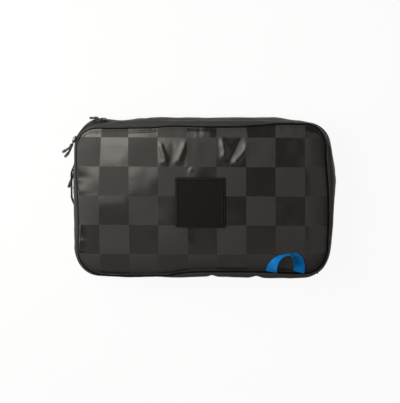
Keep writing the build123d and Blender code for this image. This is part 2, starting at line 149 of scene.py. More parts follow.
STEP = 0.001
DENSE = np.arange(0, PERIM, STEP)
END_MM, SIDE_MM = 216, 126  # where the tables place the case's ends and sides


def profile_table(right=(), top=(), left=(), bottom=(), corners=(), smooth=0.006):
    """A smooth closed function of s, from millimetres: (y, value), (x, value), and (x, y, value) at the corners."""
    rows = [(END_MM, y, v) for y, v in right] + [(x, SIDE_MM, v) for x, v in top] + list(corners)
    rows += [(-END_MM, y, v) for y, v in left] + [(x, -SIDE_MM, v) for x, v in bottom]
    s, v = np.array(sorted((near(x * MM, y * MM), v * MM) for x, y, v in rows)).T
    s, v = np.concatenate([s - PERIM, s, s + PERIM]), np.tile(v, 3)
    dense = np.interp(DENSE, s, v)
    reach = int(3 * smooth / STEP)
    kernel = np.exp(-0.5 * (np.arange(-reach, reach + 1) * STEP / smooth) ** 2)
    dense = np.convolve(np.concatenate([dense[-reach:], dense, dense[:reach]]), kernel / kernel.sum(), "valid")
    return lambda q: np.interp(np.mod(q, PERIM), np.append(DENSE, PERIM), np.append(dense, dense[0]))


# How far the cloth stands from the CAD's even walls
seam_push = profile_table(
    right=[(-35, 0.9), (-10, 0.9), (20, 0), (45, -2), (75, -4), (-80, -1.2), (-62, -0.5)],
    top=[(176, 5.4), (150, 5.6), (125, 4.8), (111, 3.3), (97, 2.3), (80, 1.3), (60, 0), (10, -0.2), (-14, 0),
        (-30, 1), (-60, 1), (-83, -1.8), (-111, -2.3), (-130, -2.8), (-160, -3.4), (-180, -3)],
    left=[(86, 2.2), (40, 1.5), (0, 0.6), (-50, -1.4), (-86, 1)],
    bottom=[(-176, 6), (-150, 7.2), (-90, 7), (-60, 6), (-44, 3.2), (-30, 0.6), (0, -1.2), (60, -1.8), (110, -1.6),
        (150, 0.4), (176, 0.2)],
    corners=[(214, 92, -4), (206, 112, 0), (203, 115, 3.6), (192, 122, 5.6), (-192, 121, -1), (-206, 112, 1.8),
        (-213, 100, 1.4), (-213, -102, 1.8), (-204, -114, 3), (-190, -123, 4.4), (196, -121, -0.6),
        (208, -109, -1.4), (214, -98, -2.2)],
)
front_belly = profile_table(
    right=[(-28, 9.6), (0, 10.6), (27, 11.2), (45, 10.4), (69, 8.2), (83, 6.8), (-80, 5.4), (-66, 7), (-50, 8.2)],
    top=[(176, 8), (150, 10), (120, 11), (0, 11), (-110, 11), (-135, 10), (-150, 8.6), (-165, 5.8), (-180, 3.2)],
    left=[(86, 6.6), (50, 8.4), (-60, 8.8), (-80, 8.2)],
    bottom=[(-176, 9), (-150, 10), (-120, 10.6), (-100, 10.2), (-83, 9.4), (-70, 10.4), (-42, 10.8), (-20, 9.6),
        (0, 9), (7, 8.6), (13, 4.6), (19, 8.6), (26, 9.2), (50, 9.8), (78, 9.8), (87, 8.4), (93, 5.6), (99, 8.6),
        (106, 9.8), (115, 10.4), (150, 10.6), (176, 9.4)],
    corners=[(213, 99, 5.6), (204, 114, 5.6), (190, 123, 6.8), (-192, 121, 2.2), (-204, 114, 2.2), (-213, 101, 3.4),
        (-213, -101, 8.2), (-204, -114, 9.6), (-190, -122, 9.8), (190, -122, 7.2), (204, -114, 5.6),
        (213, -99, 3.9), (215, -90, 3.9)],
    smooth=0.003,
)
chain_push = profile_table(
    right=[(0, 0), (50, 0), (69, -1.3), (83, -2.9), (-80, -4.2), (-66, -2.4), (-50, -1.4), (-38, -0.5)],
    top=[(176, -0.8), (165, 0)],
    left=[(-60, 0)],
    bottom=[(-176, 0), (176, 0)],
    corners=[(213, 99, -4.6), (204, 114, -5), (190, 123, -3.2), (-215, -90, -0.8), (-204, -114, -0.4),
        (190, -122, -1.2), (204, -114, -3.6), (213, -99, -5.8), (215, -90, -5.6)],
)
rear_belly = profile_table(
    right=[(-84, 1.9), (-70, 3.6), (-56, 4.5), (-42, 5.7), (-28, 6.9), (-14, 7.4), (0, 8.8), (14, 11.6), (27, 12.2),
        (41, 11.2), (55, 8.8), (69, 6.2), (83, 4.2)],
    top=[(176, 4), (162, 6.1), (148, 7), (134, 10.2), (120, 11.7), (90, 11.6), (60, 12.4), (40, 10.9), (0, 10.6),
        (-15, 11.5), (-50, 11.2), (-75, 12.2), (-95, 11.2), (-116, 9.8), (-130, 8.2), (-145, 4.6), (-165, 6.6),
        (-180, 8.6)],
    left=[(86, 6.6), (72, 8), (-76, 8), (-88, 6.6)],
    bottom=[(-170, 4.4), (-140, 4.4), (0, 4.4), (140, 4.4), (176, 4.4)],
    corners=[(214, 97, 1.5), (204, 114, 0), (190, 123, 1.6), (-190, 122, 9.8), (-204, 114, 9.4), (-211, 105, 7.8),
        (-213, -101, 4.8), (-204, -114, 4), (-190, -122, 4.2), (190, -122, 4.4), (204, -114, 4.2), (213, -99, 1.4),
        (215, -90, 1.4)],
)

# How deep the groove over the front binding is, in thousandths: the panel rolls over it along the left end
groove = profile_table(
    right=[(0, 1000)],
    top=[(0, 1000), (-176, 900)],
    left=[(78, 150), (-84, 150)],
    bottom=[(0, 1000)],
    corners=[(-204, 114, 800), (-215, 92, 500), (-214, -96, 500), (-204, -114, 900)],
)

# The front binding's half width
front_pipe = profile_table(
    right=[(0, 2.1), (90, 2.1)],
    top=[(176, 1.8), (40, 1.5), (-60, 1.25), (-176, 1.3)],
    left=[(78, 1.2), (-84, 1.2)],
    bottom=[(0, 1.8)],
    corners=[(-190, -122, 1.7), (200, -118, 2.1)],
)

# ---- repeatable noise
GRID = np.random.default_rng(7).uniform(-1, 1, (256, 256))


def noise2(u, v, seed=0):
    """Smooth noise from -1 to 1 that repeats every 256 cells."""
    u, v = np.asarray(u, float) + 17.3 * seed, np.asarray(v, float) + 41.7 * seed
    i, j = np.floor(u).astype(int), np.floor(v).astype(int)
    fu, fv = u - i, v - j
    fu, fv = fu * fu * (3 - 2 * fu), fv * fv * (3 - 2 * fv)
    cell = lambda a, b: GRID[a % 256, b % 256]
    low = cell(i, j) * (1 - fu) + cell(i + 1, j) * fu
    high = cell(i, j + 1) * (1 - fu) + cell(i + 1, j + 1) * fu
    return low * (1 - fv) + high * fv


def seam_noise(s, cells, v=0.0, seed=0):
    """Smooth noise along the closed seam: cells is how many bumps go round it."""
    u = np.mod(s, PERIM) / PERIM * cells
    f = np.clip((u - (cells - 4)) / 4, 0, 1)
    return noise2(u, v, seed) * (1 - f) + noise2(u - cells, v, seed) * f


def smoothstep(a, b, x):
    t = np.clip((x - a) / (b - a), 0, 1)
    return t * t * (3 - 2 * t)


# ---- mesh helpers
def unit(rows):
    """Vectors, a row each, scaled to length 1."""
    return rows / np.linalg.norm(rows, axis=1, keepdims=True)


def run_length(points):
    """Distance along a line of points, at each of them."""
    return np.concatenate([[0], np.cumsum(np.linalg.norm(np.diff(points, axis=0), axis=1))])


def link(name, data):
    """A new object in the scene."""
    obj = bpy.data.objects.new(name, data)
    bpy.context.scene.collection.objects.link(obj)
    return obj


def new_mesh(name, verts, faces, uvs=None):
    """A smooth mesh object from points and faces. uvs is one (u, v) for each face corner, in metres."""
    mesh = bpy.data.meshes.new(name)
    mesh.from_pydata(np.asarray(verts, float).reshape(-1, 3).tolist(), [], [list(map(int, f)) for f in faces])
    if uvs is not None:
        layer = mesh.uv_layers.new(name="UVMap")
        layer.data.foreach_set("uv", np.asarray(uvs, np.float32).ravel())
    mesh.polygons.foreach_set("use_smooth", [True] * len(mesh.polygons))
    mesh.update()
    return link(name, mesh)


def rework(obj, change=None, outward=True):
    """Changes a mesh through bmesh and turns its faces outward."""
    work = bmesh.new()
    work.from_mesh(obj.data)
    if change:
        change(work)
    if outward:
        bmesh.ops.recalc_face_normals(work, faces=work.faces)
    work.to_mesh(obj.data)
    work.free()
    return obj


def grid_quads(n, m):
    """The numbers of n by m points, and the faces between them."""
    index = np.arange(n * m).reshape(n, m)
    return index, np.stack([index[:-1, :-1], index[1:, :-1], index[1:, 1:], index[:-1, 1:]], -1).reshape(-1, 4)


def ring_faces(n, m, base=0):
    """The faces of a tube from n rings of m points, and its two ends."""
    i, j = np.meshgrid(np.arange(n - 1), np.arange(m), indexing="ij")
    k = (j + 1) % m
    ends = np.arange(base, base + m)
    quads = np.stack([i * m + j, (i + 1) * m + j, (i + 1) * m + k, i * m + k], -1).reshape(-1, 4) + base
    return quads.tolist() + [ends[::-1].tolist(), (ends + (n - 1) * m).tolist()]


def strip(name, points, s=None, closed=False, close_v=False, keep=None):
    """A quad sheet from points[i, j]: i runs along, j across. keep(i, j) leaves faces out."""
    n, m = points.shape[:2]
    along = run_length(points[:, m // 2]) if s is None else s
    across = run_length(points[n // 2])
    along, across = np.append(along, along[-1] + along[1] - along[0]), np.append(across, across[-1] * (1 + 1 / m))
    spots = [(i, j) for i in range(n if closed else n - 1) for j in range(m if close_v else m - 1)]
    i, j = np.array([spot for spot in spots if keep is None or keep(*spot)]).T
    a, b = (i + 1) % n, (j + 1) % m
    faces = np.stack([i * m + j, a * m + j, a * m + b, i * m + b], -1)
    u0, u1, v0, v1 = along[i], along[i + 1], across[j], across[j + 1]
    uvs = np.stack([u0, v0, u1, v0, u1, v1, u0, v1], -1)
    return new_mesh(name, points, faces, uvs)


def spread(controls, count):
    """Catmull-Rom curves through controls[k] = (d array, z array), as arrays (n, count) of d and z."""
    ctrl = np.stack([np.stack(np.broadcast_arrays(d, z), -1) for d, z in controls], 1)
    k = ctrl.shape[1]
    t = np.linspace(0, k - 1, count)
    i = np.minimum(t.astype(int), k - 2)
    f = (t - i)[None, :, None]
    p = np.concatenate([2 * ctrl[:, :1] - ctrl[:, 1:2], ctrl, 2 * ctrl[:, -1:] - ctrl[:, -2:-1]], 1)
    p0, p1, p2, p3 = p[:, i], p[:, i + 1], p[:, i + 2], p[:, i + 3]
    cubic = (2 * p0 - 5 * p1 + 4 * p2 - p3) * f**2 + (3 * p1 - p0 - 3 * p2 + p3) * f**3
    out = 0.5 * (2 * p1 + (p2 - p0) * f + cubic)
    return out[..., 0], out[..., 1]


def rings(path, tangent, across, radius, sides):
    """Circles round a path's points, square to its tangents. across, one or one each, never lies along the path."""
    side = unit(np.cross(tangent, across))
    lift = np.cross(side, tangent)
    angle = np.linspace(0, 2 * math.pi, sides, endpoint=False)[None, :, None]
    r = np.broadcast_to(radius, (len(path),))[:, None, None]
    return path[:, None] + r * (side[:, None] * np.cos(angle) + lift[:, None] * np.sin(angle))


def tube(name, path, radius, sides, closed=False):
    """A round tube through a dense path."""
    tangent = np.roll(path, -1, 0) - np.roll(path, 1, 0) if closed else np.gradient(path, axis=0)
    return strip(name, rings(path, unit(tangent), (0.0, 0.0, 1.0), radius, sides), closed=closed, close_v=True)


def rounded_grid(d, cell):
    """A grid over the seam's outline pushed out by d: x, y, depth inside it, faces, and the boundary in order."""
    X, Y, R = SEAM_X + d, SEAM_Y + d, max(SEAM_R + d, 0.004)

    def ticks(half):
        corner = np.linspace(half - R, half, max(3, round(R * 1.2 / cell)))
        middle = np.linspace(R - half, half - R, 2 * max(2, round((half - R) / cell)) + 1)
        return np.concatenate([-corner[::-1][:-1], middle, corner[1:]])

    gx, gy = np.meshgrid(ticks(X), ticks(Y), indexing="ij")
    ax, ay = np.abs(gx) - (X - R), np.abs(gy) - (Y - R)
    corner = (ax > 0) & (ay > 0)
    big = np.maximum(ax, ay)
    turn = np.where(corner, np.minimum(ax, ay) / np.maximum(big, 1e-9), 0) * math.pi / 4
    px = np.where(ax >= ay, big * np.cos(turn), big * np.sin(turn))
    py = np.where(ax >= ay, big * np.sin(turn), big * np.cos(turn))
    gx = np.where(corner, np.sign(gx) * (X - R + px), gx)
    gy = np.where(corner, np.sign(gy) * (Y - R + py), gy)
    depth = np.where(corner, R - big, np.minimum(X - np.abs(gx), Y - np.abs(gy)))
    index, quads = grid_quads(*gx.shape)
    edge = np.concatenate([index[-1, :], index[::-1, -1][1:], index[0, ::-1][1:], index[:, 0][1:-1]])
    return gx.ravel(), gy.ravel(), depth.ravel(), quads, edge


PUSH_REACH = 0.022


def cloth_tray(name, d, cell, height, rows, push=None):
    """A sheet over the outline at d, at height(x, y, depth), with the rows(s) of (d, z) round its edge."""
    x, y, depth, quads, edge = rounded_grid(d, cell)
    s = seam_s_of(x, y)
    if push is not None:
        _, _, nx, ny = seam_at(s)
        out = push(s) * np.exp(-((depth / PUSH_REACH) ** 2))
        x, y = x + nx * out, y + ny * out
    verts, uvs, faces = [np.stack([x, y, height(x, y, depth)], -1)], [np.stack([x, y], -1)], [quads]
    edge_s, ring, previous, run = s[edge], edge, verts[0][edge], 0.0
    way = np.stack(seam_at(edge_s)[2:], -1)
    for row_d, row_z in rows(edge_s):
        points = around(edge_s, row_d, row_z)
        run += float(np.linalg.norm(points - previous, axis=1).mean())
        new = sum(map(len, verts)) + np.arange(len(edge))
        faces.append(np.stack([ring, new, np.roll(new, -1), np.roll(ring, -1)], -1))
        verts.append(points)
        uvs.append(uvs[0][edge] + way * run)
        previous, ring = points, new
    faces = np.concatenate(faces)
    return new_mesh(name, np.concatenate(verts), faces, np.concatenate(uvs)[faces.ravel()])


# ---- materials
class Graph:
    """The nodes of a material or the world, under construction."""

    def __init__(self, owner):
        owner.use_nodes = True
        self.tree = owner.node_tree
        self.tree.nodes.clear()

    def add(self, kind, inputs=None, **settings):
        node = self.tree.nodes.new("ShaderNode" + kind)
        for key, value in settings.items():
            setattr(node, key, value)
        for key, value in (inputs or {}).items():
            self.put(node, key, value)
        return node

    def put(self, node, key, value):
        if isinstance(value, bpy.types.NodeSocket):
            self.tree.links.new(value, node.inputs[key])
        elif isinstance(value, bpy.types.Node):
            self.tree.links.new(value.outputs[0], node.inputs[key])
        else:
            node.inputs[key].default_value = value

    def math(self, operation, a, b=0.0, c=0.0):
        return self.add("Math", {0: a, 1: b, 2: c}, operation=operation).outputs[0]

    def remap(self, value, to_low, to_high, low=0.3, high=0.7, **settings):
        """value's range from low to high, moved onto another. The default range is most of what noise gives."""
        inputs = {0: value, 1: low, 2: high, 3: to_low, 4: to_high}
        return self.add("MapRange", inputs, **settings).outputs[0]


MATS = {}


class Finish(Graph):
    """A material with one principled shader, kept in MATS."""

    def __init__(self, name):
        MATS[name] = bpy.data.materials.new(name)
        super().__init__(MATS[name])
        self.shader = self.add("BsdfPrincipled")
        self.out = self.add("OutputMaterial", {"Surface": self.shader})

    def set(self, **sockets):
        for key, value in sockets.items():
            self.put(self.shader, key.replace("_", " "), value)

    def coords(self, kind="UV"):
        return self.add("TexCoord").outputs[kind]

    def noise(self, coords, size, detail=2.0):
        """Noise from 0 to 1 whose features are about size metres across."""
        inputs = {"Vector": coords, "Scale": 1 / size, "Detail": detail, "Roughness": 0.5}
        return self.add("TexNoise", inputs).outputs["Fac"]

    def rough(self, coords, size, low, high, detail=2.0):
        """Roughness from low to high, in grains about size metres across."""
        self.set(Roughness=self.remap(self.noise(coords, size, detail), low, high))

    def mix(self, fac, a, b):
        return self.add("Mix", {0: fac, 6: a, 7: b}, data_type="RGBA").outputs[2]

    def vector(self, operation, a, b):
        return self.add("VectorMath", {0: a, 1: b}, operation=operation).outputs[0]

    def split(self, coords):
        return self.add("SeparateXYZ", {0: coords}).outputs[:2]

    def wave(self, value, pitch):
        """sin of value, one turn each pitch metres."""
        return self.math("SINE", self.math("MULTIPLY_ADD", value, 2 * math.pi / pitch, 0.0))

    def weave(self, coords, pitch):
        """A plain weave's height, from -1 to 1."""
        u, v = self.split(coords)
        return self.math("MULTIPLY", self.wave(u, pitch), self.wave(v, pitch))

    def bump(self, height, distance, strength):
        """One more bump, over those already there."""
        previous = self.shader.inputs["Normal"]
        inputs = {"Height": height, "Distance": distance, "Strength": strength}
        if previous.is_linked:
            inputs["Normal"] = previous.links[0].from_socket
        self.put(self.shader, "Normal", self.add("Bump", inputs))


def tint(red, green, blue):
    return (red, green, blue, 1.0)


def grey(value):
    return tint(value, value, value)


SQUARE_W, SQUARE_H = 0.0508, 0.0507
SQUARES_AT = (-0.0254, -0.007, 0)


def checker_finish():
    """Black cloth with squares of smooth coating between squares left matt."""
    f = Finish("checker_cloth")
    uv = f.coords()
    cells = f.vector("MULTIPLY", f.vector("ADD", uv, SQUARES_AT), (1 / SQUARE_W, 1 / SQUARE_H, 0))
    coated = f.add("TexChecker", {"Vector": cells, "Scale": 1.0}).outputs["Fac"]
    bare = f.math("SUBTRACT", 1.0, coated)
    grain = f.noise(uv, 0.0026)
    cloud = f.noise(uv, 0.030)
    matt_tint = f.mix(cloud, tint(0.0102, 0.0097, 0.0090), tint(0.0134, 0.0127, 0.0118))
    coated_tint = f.mix(cloud, tint(0.0115, 0.0108, 0.0101), tint(0.0150, 0.0141, 0.0132))
    matt, gloss = f.remap(grain, 0.54, 0.62), f.remap(grain, 0.16, 0.21)
    rough = f.math("ADD", f.math("MULTIPLY", coated, gloss), f.math("MULTIPLY", bare, matt))
    f.set(Base_Color=f.mix(coated, matt_tint, coated_tint), Roughness=rough)
    f.set(Specular_IOR_Level=0.5, Sheen_Weight=0.02, Sheen_Roughness=0.5)
    f.bump(f.math("MULTIPLY", grain, coated), 0.00010, 0.8)
    f.bump(f.math("MULTIPLY", f.weave(uv, 0.0009), bare), 0.00004, 0.6)


def cloth_finish(name, dark, light, rough, pitch=0.0009, depth=0.00005, sheen=0.15, specular=0.5):
    f = Finish(name)
    uv = f.coords()
    f.set(Base_Color=f.mix(f.noise(uv, 0.02, 3.0), dark, light))
    f.set(Specular_IOR_Level=specular, Sheen_Weight=sheen, Sheen_Roughness=0.45)
    f.rough(uv, 0.004, rough - 0.05, rough + 0.05)
    f.bump(f.noise(uv, 0.006, 3.0), 0.0002, 0.35)
    f.bump(f.weave(uv, pitch), depth, 0.7)


def webbing_finish(name, dark, light, sheen=0.3, specular=0.4):
    """Flat webbing: v runs across it, u along; a herringbone of fine ribs with a firm selvedge."""
    f = Finish(name)
    u, v = f.split(f.coords())
    ribs = f.wave(f.math("ADD", u, f.math("PINGPONG", v, 0.0024)), 0.0022)
    rows = f.wave(v, 0.0012)
    # The colour follows the ribs and rows: lighter on their crests and darker in the grooves between them, which is
    # painted shade
    f.set(Base_Color=f.mix(f.remap(f.math("ADD", ribs, rows), 0, 1, -1.4, 1.4), dark, light), Roughness=0.5)
    f.set(Sheen_Weight=sheen, Sheen_Roughness=0.4, Specular_IOR_Level=specular)
    f.bump(ribs, 0.00012, 0.8)
    f.bump(rows, 0.00006, 0.6)


def rubber_finish(name):
    f = Finish(name)
    at = f.coords("Object")
    f.set(Base_Color=f.mix(f.noise(at, 0.01), grey(0.0030), grey(0.0048)), Specular_IOR_Level=0.12)
    f.rough(at, 0.0012, 0.46, 0.60, 3.0)
    f.bump(f.noise(at, 0.0005), 0.00004, 0.6)


def metal_finish(name, dark, light, rough):
    """Black lacquer over cast zinc, rubbed a little along its edges."""
    f = Finish(name)
    at = f.coords("Object")
    worn = f.add("NewGeometry").outputs["Pointiness"]
    rub = f.remap(f.math("ADD", worn, f.math("MULTIPLY", f.noise(at, 0.002), 0.08)), 0, 1, 0.60, 0.78)
    f.set(Base_Color=f.mix(rub, dark, light), Metallic=0.0, Specular_IOR_Level=0.2)
    f.rough(at, 0.0009, rough - 0.06, rough + 0.08, 4.0)
    f.bump(f.noise(at, 0.0009, 3.0), 0.00002, 0.4)


def plastic_finish(name, dark, light, rough):
    f = Finish(name)
    uv = f.coords()
    f.set(Base_Color=f.mix(f.noise(uv, 0.003), dark, light), Specular_IOR_Level=0.5)
    f.rough(uv, 0.0015, rough - 0.06, rough + 0.06)
    f.bump(f.noise(uv, 0.0004), 0.00001, 0.5)


def braid_finish(name):
    """Braided cord: small round cells, raised in their middles."""
    f = Finish(name)
    cells = f.add("TexVoronoi", {"Vector": f.coords("Object"), "Scale": 1 / 0.0011}).outputs["Distance"]
    # The colour is lighter on each cell's raised middle and darker towards its rim: painted shade in the hollows
    # between strands
    f.set(Base_Color=f.mix(cells, grey(0.020), grey(0.010)), Roughness=0.62, Sheen_Weight=0.25, Sheen_Roughness=0.5)
    f.bump(f.math("SUBTRACT", 1.0, cells), 0.0003, 0.8)


def thread_finish(name):
    f = Finish(name)
    at = f.coords("Object")
    f.set(Base_Color=f.mix(f.noise(at, 0.0006), grey(0.016), grey(0.030)), Roughness=0.5, Sheen_Weight=0.2)
    f.bump(f.noise(at, 0.0003), 0.00004, 0.6)


checker_finish()
cloth_finish("wall_cloth", tint(0.026, 0.0249, 0.0234), tint(0.036, 0.0344, 0.0322), 0.62, sheen=0.02, specular=0.25)
cloth_finish("back_cloth", grey(0.022), grey(0.030), 0.6, pitch=0.0012, depth=0.0001)
cloth_finish("lining_cloth", tint(0.055, 0.057, 0.060), tint(0.075, 0.077, 0.081), 0.55, pitch=0.0007)
cloth_finish("padding", grey(0.10), grey(0.14), 0.85, pitch=0.0015, depth=0.0002)
# The binding's near-black colour is its own black, deepened into painted shade of the groove it lies in
cloth_finish("binding", grey(0.0015), grey(0.003), 0.7, pitch=0.0011, depth=0.00012, sheen=0.0, specular=0.1)
rubber_finish("patch_rubber")
webbing_finish("blue_webbing", tint(0.0004, 0.130, 0.43), tint(0.0007, 0.225, 0.66), sheen=0.0, specular=0.12)
webbing_finish("black_webbing", grey(0.012), grey(0.026))
cloth_finish("zip_tape", grey(0.010), grey(0.016), 0.6, pitch=0.0008, depth=0.00012, sheen=0.08)
plastic_finish("coil", grey(0.012), grey(0.020), 0.34)
metal_finish("slider_metal", grey(0.010), grey(0.040), 0.46)
metal_finish("link_metal", grey(0.010), grey(0.040), 0.46)
metal_finish("stop_metal", grey(0.03), grey(0.12), 0.35)
braid_finish("pull_cord")
thread_finish("black_thread")


def paint(obj, finish):
    obj.data.materials.clear()
    obj.data.materials.append(MATS[finish])


def piece(obj, body, slot, *nodes, finish=None, thick=0, offset=-1.0):
    """Gives a piece its thickness, body, finish and material slot, and hides the CAD nodes that it stands for."""
    if thick:
        mod = obj.modifiers.new("thickness", "SOLIDIFY")
        mod.thickness, mod.offset, mod.use_quality_normals = thick, offset, True
    if body:
        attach(obj, body)
    paint(obj, finish or slot)
    if nodes:
        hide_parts(*nodes)
    return obj


# ---- camera
CAM_TARGET = Vector((-0.0040, -0.0029, SEAM_Z))
CAM_WAY = Vector((0.0966, 0.127, 1.0)).normalized()
CAM_DISTANCE = 5.5
FIELD_W = 0.6895
SENSOR_W = 36.0
CAM_ROLL = math.radians(-0.40)
camera_data = bpy.data.cameras.new("camera")
camera_data.sensor_width = SENSOR_W
camera_data.sensor_fit = "HORIZONTAL"
camera_data.lens = SENSOR_W * CAM_DISTANCE / FIELD_W
camera_data.clip_end = 20
camera = link("camera", camera_data)
turned = Matrix.Rotation(CAM_ROLL, 3, CAM_WAY)
across = Vector((0, 1, 0)).cross(CAM_WAY).normalized()
above = CAM_WAY.cross(across)
camera.matrix_world = Matrix((turned @ across, turned @ above, CAM_WAY)).transposed().to_4x4()
camera.matrix_world.translation = CAM_TARGET + CAM_WAY * CAM_DISTANCE
bpy.context.scene.camera = camera

# ---- cord tails
CORD_R = 0.002
TIP_R = 0.0027
KNOTS = {"top": (-0.184947, 0.138453, 0.0485), "corner": (-0.229578, 0.090846, 0.0485),
         "pocket": (-0.228786, 0.043093, 0.0185)}
# Each pull's two tails, as millimetres from its knot
TAILS = {
    "top": [
        [(-3.2, 0.4, 1.4), (-10.0, 0.7, -2.2), (-12.6, -0.4, -9.6), (-12.4, -1.6, -17.2), (-10.6, -2.0, -24.6)],
        [(-2.4, -0.4, -3.0), (-6.4, -0.9, -9.4), (-7.2, -1.4, -17.0), (-5.6, -1.8, -24.4), (-3.0, -2.0, -31.4)],
    ],
    "corner": [
        [(-1.8, -2.8, 2.2), (-7.6, -6.8, -0.4), (-12.2, -9.8, -5.4), (-15.2, -11.6, -12.0), (-16.8, -13.0, -19.2)],
        [(-0.6, -3.2, -2.2), (-3.6, -9.6, -4.9), (-7.2, -14.8, -8.8), (-10.8, -18.6, -14.0), (-13.4, -21.0, -20.6)],
    ],
    "pocket": [
        [(-0.9, -3.2, 2.3), (-3.2, -10.2, 1.8), (-6.0, -17.0, -0.2), (-8.8, -23.2, -3.6), (-11.2, -28.8, -8.0)],
        [(0.4, -3.2, -2.2), (0.8, -10.6, -3.4), (0.6, -18.0, -5.0), (-0.4, -25.2, -7.2), (-1.8, -32.2, -10.0)],
    ],
}
for pull, routes in TAILS.items():
    for label, offsets in zip("ab", routes):
        curve = bpy.data.curves.new(f"{pull}_cord_{label}", "CURVE")
        curve.dimensions = "3D"
        # The thickness is on the points, because a curve's box grows by its points' radius
        curve.bevel_depth = 1.0
        curve.bevel_resolution = 4
        curve.resolution_u = 12
        curve.use_fill_caps = True
        spline = curve.splines.new("NURBS")
        spline.points.add(len(offsets) - 1)
        route = [Vector(KNOTS[pull]) + Vector(offset) * MM for offset in offsets]
        for point, at in zip(spline.points, route):
            point.co = (*at, 1.0)
            point.radius = CORD_R
        spline.order_u = 3
        spline.use_endpoint_u = True
        tail = piece(link(curve.name, curve), f"{pull}_pull", "pull_cord", f"{pull}_tail_{label}")


def nurbs_path(points, count):
    """Points along the same open quadratic spline as the tails, ends included."""
    points = np.array(points, float)
    spans = len(points) - 2
    u = np.linspace(0, spans, count)
    k = np.minimum(u.astype(int), spans - 1)
    knot = lambda i: np.clip(k + i, 0, spans)
    between = lambda a, b, f: a + (b - a) * f[:, None]
    low = between(points[k], points[k + 1], (u - knot(-1)) / (knot(1) - knot(-1)))
    high = between(points[k + 1], points[k + 2], (u - knot(0)) / (knot(2) - knot(0)))
    return between(low, high, u - k)


# Moulded ends over the outer half of each cord
for pull in ("corner", "pocket"):
    for label, offsets in zip("ab", TAILS[pull]):
        path = (np.array(KNOTS[pull]) + nurbs_path(offsets, 81) * MM)[36:]
        piece(tube(f"{pull}_tip_{label}", path, TIP_R, sides=14), f"{pull}_pull", "coil")

# ---- the soft shell
CROWN_EDGE, CROWN_RUN, CROWN_RISE = 0.0018, 0.034, 0.0042


def run_of(count, *exact):
    """Arc lengths once round the seam, with the nearest samples moved onto the exact ones."""
    s = np.linspace(0, PERIM, count, endpoint=False)
    for e in exact:
        s[np.argmin(np.abs(s - e))] = e
    return s


def crown_z(inset):
    """The front panel's height over the rounded rim that leads up to its flat middle."""
    radius = ((CROWN_RUN - CROWN_EDGE) ** 2 + CROWN_RISE**2) / (2 * CROWN_RISE)
    return PANEL_TOP - radius + np.sqrt(radius**2 - np.maximum(0.0, CROWN_RUN - inset) ** 2)


# Wrinkles of the front panel: points (x, y) in mm with a half width and a height there, ridge positive
STROKES = [
    ([(-73, 104, 2.2), (-69, 88, 4), (-64, 70, 5.5), (-66, 58, 6)], 1.3),
    ([(-26, 106, 3.5), (-31, 92, 5), (-38, 74, 5.5), (-42, 60, 6)], 1.25),
    ([(-50, 104, 4), (-50, 82, 6), (-53, 62, 6)], -0.45),
    ([(31, 122, 3.8), (36, 104, 4.6), (40, 86, 5.5), (38, 66, 5.5)], 1.5),
    ([(74, 120, 5), (60, 92, 6), (44, 62, 6)], -0.9),
    ([(78, 106, 3), (76, 88, 4), (66, 74, 5), (52, 60, 5.5)], 1.3),
    ([(-6, 118, 5), (-8, 96, 7), (-4, 76, 6)], 0.7),
    ([(82, 122, 4), (80, 108, 4.5)], 0.9),
    ([(-22, 55, 2.4), (-16, 51, 2.4)], 0.7),
    ([(-24, 58, 2), (-21, 50, 2)], -0.6),
    ([(-24, -64, 4.5), (-18, -86, 4)], 0.6),
    ([(182, 58, 6), (214, 40, 6)], -0.7),
    ([(-120, 110, 7), (-114, 84, 9), (-118, 60, 8)], 0.6),
    ([(110, 100, 8), (128, 74, 10)], 0.6),
    ([(-176, -60, 10), (-120, -96, 8)], 0.5),
]


def wrinkles(x, y):
    """The front panel's folds: soft ridges and hollows along the strokes."""
    total = np.zeros_like(x)
    for points, height in STROKES:
        *p, w = np.array(points).T * MM
        p = np.stack(p, -1)
        best, width, along = np.full(x.shape, 9.0), np.full(x.shape, w[0]), np.zeros_like(x)
        for k, edge in enumerate(np.diff(p, axis=0)):
            t = np.clip(((x - p[k, 0]) * edge[0] + (y - p[k, 1]) * edge[1]) / (edge @ edge), 0, 1)
            distance = np.hypot(x - p[k, 0] - t * edge[0], y - p[k, 1] - t * edge[1])
            nearer = distance < best
            best = np.where(nearer, distance, best)
            width = np.where(nearer, w[k] + (w[k + 1] - w[k]) * t, width)
            along = np.where(nearer, (k + t) / (len(p) - 1), along)
        fade = smoothstep(0, 0.25, along) * smoothstep(1, 0.8, along)
        total += height * MM * np.exp(-((best / width) ** 2)) * fade
    return total


def panel_height(x, y, depth):
    s = seam_s_of(x, y)
    z = crown_z(np.maximum(depth, 0) + CROWN_EDGE)
    z = z + 0.0008 * noise2(x / 0.075, y / 0.060, 3) + 0.0003 * noise2(x / 0.022, y / 0.026, 5)
    pucker = seam_noise(s, 96, depth / 0.03, 2) + 0.7 * seam_noise(s, 210, depth / 0.02, 4)
    z = z + 0.00042 * pucker * np.exp(-depth / 0.011) * smoothstep(0, 0.002, depth)
    z = z + 0.68 * wrinkles(x, y) * smoothstep(0.004, 0.03, depth)
    return z - 0.0016 * np.exp(-np.maximum(depth, 0) / 0.0022) * groove(s)


front_cloth = cloth_tray("front_cloth", -0.0014, 0.0026, panel_height,
                         lambda s: [(seam_push(s) - 0.0006, 0.0706), (seam_push(s) - 0.0007, 0.0694)], push=seam_push)
# The printed squares lean a little at the left end
uv_layer = front_cloth.data.uv_layers[0].data
flat_uv = np.empty(len(uv_layer) * 2, np.float32)
uv_layer.foreach_get("uv", flat_uv)
print_x, print_y = flat_uv[::2], flat_uv[1::2]
lean = np.interp(print_y, [-0.12, 0.007, 0.12], [0.0, -0.0026, 0.0045])
print_x -= lean * smoothstep(-0.125, -0.178, print_x)
uv_layer.foreach_set("uv", flat_uv)
piece(front_cloth, "lid", "checker_cloth", "front_panel", thick=0.0012)


